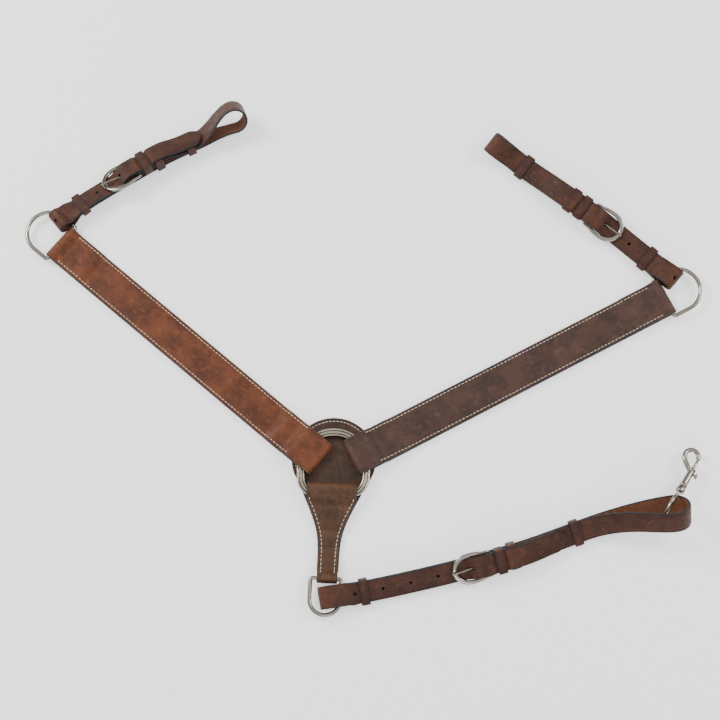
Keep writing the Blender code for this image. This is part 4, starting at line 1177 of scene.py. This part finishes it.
def make_buckle(name, lay, tug):
    """Horseshoe frame with a notch for the tongue, and a wire tongue curled round the bar."""
    bar = lay.matrix(tug["bar"] * MM) @ Matrix.Translation((0, 0, HEEL_BAR_H))
    half_bar = TUG_WIDTH / 2 + 2.0 * MM
    bow_start = 27 * MM
    bow = FRAME_LENGTH - 3.0 * MM - bow_start
    arm = [(0, half_bar - 1.5 * MM, 1.0), (1.2 * MM, half_bar - 0.3 * MM, 1.0),
           (4 * MM, half_bar, 1.0), (10 * MM, half_bar + 0.3 * MM, 1.1),
           (14 * MM, half_bar + 1.0 * MM, 1.45), (20 * MM, FRAME_HALF - 0.1 * MM, 1.55)]
    side = spline(arm, 5)
    outline = [(0.0, -8 * MM, 1.0), (0.0, 0.0, 1.0), (0.0, 8 * MM, 1.0)]
    outline += [(-u, v, w) for u, v, w in side]
    bow_steps = 36
    for i in range(bow_steps + 1):
        angle = math.pi * i / bow_steps
        outline.append((-bow_start - bow * math.sin(angle), FRAME_HALF * math.cos(angle),
                        1.65 + 0.3 * math.sin(angle)))
    outline += [(-u, -v, w) for u, v, w in reversed(side)]
    points = [bar @ Vector((u, v, 0)) for u, v, _ in outline]
    profiles = []
    for u, v, wide in outline:
        thick = BAR_RADIUS * min(wide, 1.3)
        if u < -bow_start and abs(v) < 2.4 * MM:
            thick -= 0.5 * MM * smooth(1 - abs(v) / (2.4 * MM))
        profiles.append(frame_profile(BAR_RADIUS * wide, thick))
    up = bar.to_3x3().col[2].normalized()
    shape = Shape()
    sweep(shape, points, profiles, up)
    shape.build(name + "_buckle_bow", NICKEL, name + "_buckle", [name + "_buckle_frame"],
                "nickel_plate")
    curl = BAR_RADIUS + 1.6 * GAP + TONGUE_WIRE
    path = [(u, h, TONGUE_WIRE) for u, h in arc(curl, 110, -200, 20)]
    reach = [path[-1], (-14 * MM, -1.2 * MM, TONGUE_WIRE), (-32 * MM, 1.6 * MM, TONGUE_WIRE),
             (-44 * MM, TONGUE_REST, 1.2 * MM),
             (-FRAME_LENGTH - 0.5 * MM, TONGUE_REST + 0.1 * MM, 0.95 * MM)]
    path += spline(reach, 8)[1:]
    path += [(-FRAME_LENGTH - 1.2 * MM, TONGUE_REST, 0.6 * MM)]
    tongue = Shape()
    sweep(tongue, [bar @ Vector((u, 0, h)) for u, h, _ in path],
          [round_profile(r, 14) for _, _, r in path], bar.to_3x3().col[1].normalized(), closed=False)
    tongue.build(name + "_buckle_prong", NICKEL, name + "_tongue", [name + "_buckle_tongue"],
                 "nickel_plate")


def make_snap(lay, tug):
    """Swivel bolt snap: forged eye, turned barrel with its hook, and a spring bolt with its knob."""
    z = Vector(JOINTS["snap_swivel"]["axis"]).normalized()
    centre = Vector(JOINTS["snap_swivel"]["pos_m"])
    x = Vector((z.y, -z.x, 0)).normalized()
    matrix = rigid(x, z.cross(x), z, centre)
    loop_radius = (tug["loop_height"] * MM - TUG_HIDE / 2 - TUG_BACK_H) / 2
    _, along, _, _ = lay.basis(tug["length"] * MM - loop_radius - TUG_HIDE / 2 - EYE_BACK)
    facing = (along - z * along.dot(z)).normalized()
    rim = EYE_RADIUS
    other = facing.cross(z).normalized()
    steps = 56
    ring = [centre + (z * math.cos(2 * math.pi * i / steps)
                      + other * math.sin(2 * math.pi * i / steps)) * rim for i in range(steps)]
    eye = Shape()
    sweep(eye, ring, [round_profile(EYE_WIRE)] * steps, facing)
    stem = STEM_RADIUS / MM
    turned(eye, matrix, rim, [(2.6, -0.5, 0), (2.6, 1.4, 0), (stem, 2.2, 0.6), (stem, 10.2, 0),
                              (3.3, 10.4, 0), (3.3, 12.2, 0)])
    eye.build("snap_eye_forging", NICKEL, "snap_eye", ["snap_eye"], "nickel_plate")

    body = Shape()
    barrel = [(2.4, 12.8, 0.5), (2.4, 3.0, 0.5), (5.6, 3.0, 0), (6.2, 3.7, 0), (6.3, 5.0, 0),
              (6.2, 8.4, 0), (5.6, 10.2, 0), (5.2, 11.6, 0.6), (5.2, 12.6, 0.8), (5.7, 13.3, 0),
              (5.8, 14.2, 0), (5.4, 15.1, 0), (4.85, 15.7, 0.8), (4.8, 17.0, 0),
              (4.8, 37.0, 0), (4.9, 37.8, 0.8), (5.4, 38.5, 0), (5.45, 39.8, 0), (5.0, 41.2, 0),
              (4.0, 41.9, 0), (2.2, 42.0, 0), (2.1, 41.4, 0.6), (2.1, 18.0, 0.9)]
    turned(body, matrix, rim, barrel)
    item = body.build("snap_barrel", NICKEL, "snap", ["snap_body"], "nickel_plate", sharp=55)
    slot = matrix @ Matrix.Translation((4 * MM, 0, rim + SLOT_MIDDLE))
    apply_cuts(item, [box_cutter(slot, 8 * MM, 3.4 * MM, 12 * MM)], NICKEL)

    top = rim + HOOK_TOP
    wire = [(x * MM, rim + height * MM, r) for x, height, r in
            ((-1.0, 34.0, 2.6), (-4.5, 38.5, 3.3), (-11.0, 43.5, 3.5), (-16.8, 49.0, 3.4))]
    neck = len(wire)
    bend = arc(HOOK_RADIUS, 188, -185, 30, (HOOK_MIDDLE, top))
    wire += [(px, pz, HOOK_WIRE / MM) for px, pz in bend]
    wire += [(-0.6 * MM, top - 0.5 * MM, 2.5)]
    hook = Shape()
    wire = spline(wire[:neck + 1], 6)[:-1] + wire[neck:]
    sweep(hook, [matrix @ Vector((px, 0, pz)) for px, pz, _ in wire],
          [round_profile(r * MM, 18, 0.93) for _, _, r in wire], matrix.to_3x3().col[1].normalized(),
          closed=False)
    hook.build("snap_hook", NICKEL, "snap", slot="nickel_plate")

    bolt_start = rim + SLOT_MIDDLE
    bolt = Shape()
    shank = BOLT_RADIUS / MM
    tip = BOLT_LENGTH / MM
    turned(bolt, matrix, bolt_start, [(1.2, 0, 0), (shank, 0.5, 0), (shank, tip - 1.0, 0),
                                      (1.5, tip - 0.3, 0), (0.8, tip, 0)], sides=24)
    turn = matrix @ Matrix.Translation((0, 0, bolt_start + 3.2 * MM))
    turn = turn @ Matrix.Rotation(math.radians(90), 4, "Y")
    knob = [(1.3, 0.4, 0), (1.3, 6.6, 0.5), (2.9, 7.0, 0), (4.1, 7.4, 0), (4.25, 8.3, 0),
            (3.9, 8.9, 0.7), (3.7, 9.2, 0.7), (3.75, 9.7, 0), (3.1, 10.3, 0), (1.5, 10.5, 0)]
    turned(bolt, turn, 0, knob, sides=24)
    bolt.build("snap_bolt_pin", NICKEL, "snap_bolt", ["snap_bolt"], "nickel_plate", sharp=50)


# ---------------------------------------------------------------- stage

CAMERA_TARGET = Vector((35.8, 147.0, 0)) * MM
CAMERA_DISTANCE = 2.6
CAMERA_ELEVATION = math.radians(76)
CAMERA_LENS = 94.9


def area_light(name, place, target, size, power, colour=(1, 1, 1)):
    data = bpy.data.lights.new(name, "AREA")
    data.shape = "RECTANGLE"
    data.size = size[0]
    data.size_y = size[1]
    data.energy = power
    data.color = colour
    item = bpy.data.objects.new(name, data)
    item.location = place
    item.rotation_euler = (Vector(target) - Vector(place)).to_track_quat("-Z", "Y").to_euler()
    bpy.context.scene.collection.objects.link(item)


def make_stage():
    """Pale floor, a pale sky, three soft lights from the sides and the camera."""
    material = bpy.data.materials.new("studio_floor")
    material.use_nodes = True
    shader = material.node_tree.nodes["Principled BSDF"]
    shader.inputs["Base Color"].default_value = (0.93, 0.93, 0.93, 1)
    shader.inputs["Roughness"].default_value = 0.9
    shader.inputs["Emission Color"].default_value = (1, 1, 1, 1)
    shader.inputs["Emission Strength"].default_value = 0.75
    mesh = bpy.data.meshes.new("studio_floor")
    reach = 6.0
    mesh.from_pydata([(-reach, -reach, 0), (reach, -reach, 0), (reach, reach, 0), (-reach, reach, 0)],
                     [], [(0, 1, 2, 3)])
    mesh.materials.append(material)
    floor = bpy.data.objects.new("studio_floor", mesh)
    floor.location.z = -0.5 * MM
    bpy.context.scene.collection.objects.link(floor)
    world = bpy.data.worlds.new("studio")
    world.use_nodes = True
    tree = world.node_tree
    background = tree.nodes["Background"]
    direction = tree.nodes.new("ShaderNodeTexCoord")
    split = tree.nodes.new("ShaderNodeSeparateXYZ")
    tree.links.new(direction.outputs["Generated"], split.inputs["Vector"])
    sky = tree.nodes.new("ShaderNodeValToRGB")
    sky.color_ramp.elements[0].position = 0.05
    sky.color_ramp.elements[0].color = (0.10, 0.10, 0.11, 1)
    sky.color_ramp.elements[1].position = 0.80
    sky.color_ramp.elements[1].color = (1.0, 1.0, 1.0, 1)
    middle = sky.color_ramp.elements.new(0.45)
    middle.color = (0.35, 0.35, 0.36, 1)
    tree.links.new(split.outputs["Z"], sky.inputs["Fac"])
    tree.links.new(sky.outputs["Color"], background.inputs["Color"])
    background.inputs["Strength"].default_value = 1.05
    bpy.context.scene.world = world
    area_light("key_light", (-1.9, 1.2, 1.9), (0, 0.1, 0), (1.1, 1.1), 62, (1.0, 0.98, 0.95))
    area_light("side_light", (2.1, 0.6, 1.7), (0, 0.1, 0), (1.0, 1.0), 30)
    area_light("front_light", (0.2, -2.2, 1.5), (0, 0.1, 0), (1.6, 0.8), 16, (0.95, 0.97, 1.0))
    data = bpy.data.cameras.new("camera")
    data.lens = CAMERA_LENS
    data.sensor_width = 36
    camera = bpy.data.objects.new("camera", data)
    back = Vector((0, -math.cos(CAMERA_ELEVATION), math.sin(CAMERA_ELEVATION)))
    camera.location = CAMERA_TARGET + back * CAMERA_DISTANCE
    camera.rotation_euler = (math.pi / 2 - CAMERA_ELEVATION, 0, 0)
    bpy.context.scene.collection.objects.link(camera)
    bpy.context.scene.camera = camera


def main():
    make_backing()
    make_drop()
    make_ring()
    for name, shoulder in SHOULDERS.items():
        make_shoulder(name)
        make_dee(name + "_dee", JOINTS[name + "_dee_flip"], DEE_HALF, DEE_SIDE, WIRE,
                 -DEE_SHIFT * shoulder["side"])
    make_dee("drop_dee", JOINTS["drop_dee_flip"], DROP_DEE_HALF, DROP_DEE_SIDE, DROP_WIRE,
             DROP_DEE_SHIFT)
    for strap, tug in TUGS.items():
        name = strap.split("_")[0]
        lay = make_tug(strap, tug)
        make_buckle(name, lay, tug)
        make_keepers(name, strap, lay, tug)
        if strap == "girth_strap":
            make_snap(lay, tug)
    make_stage()


main()
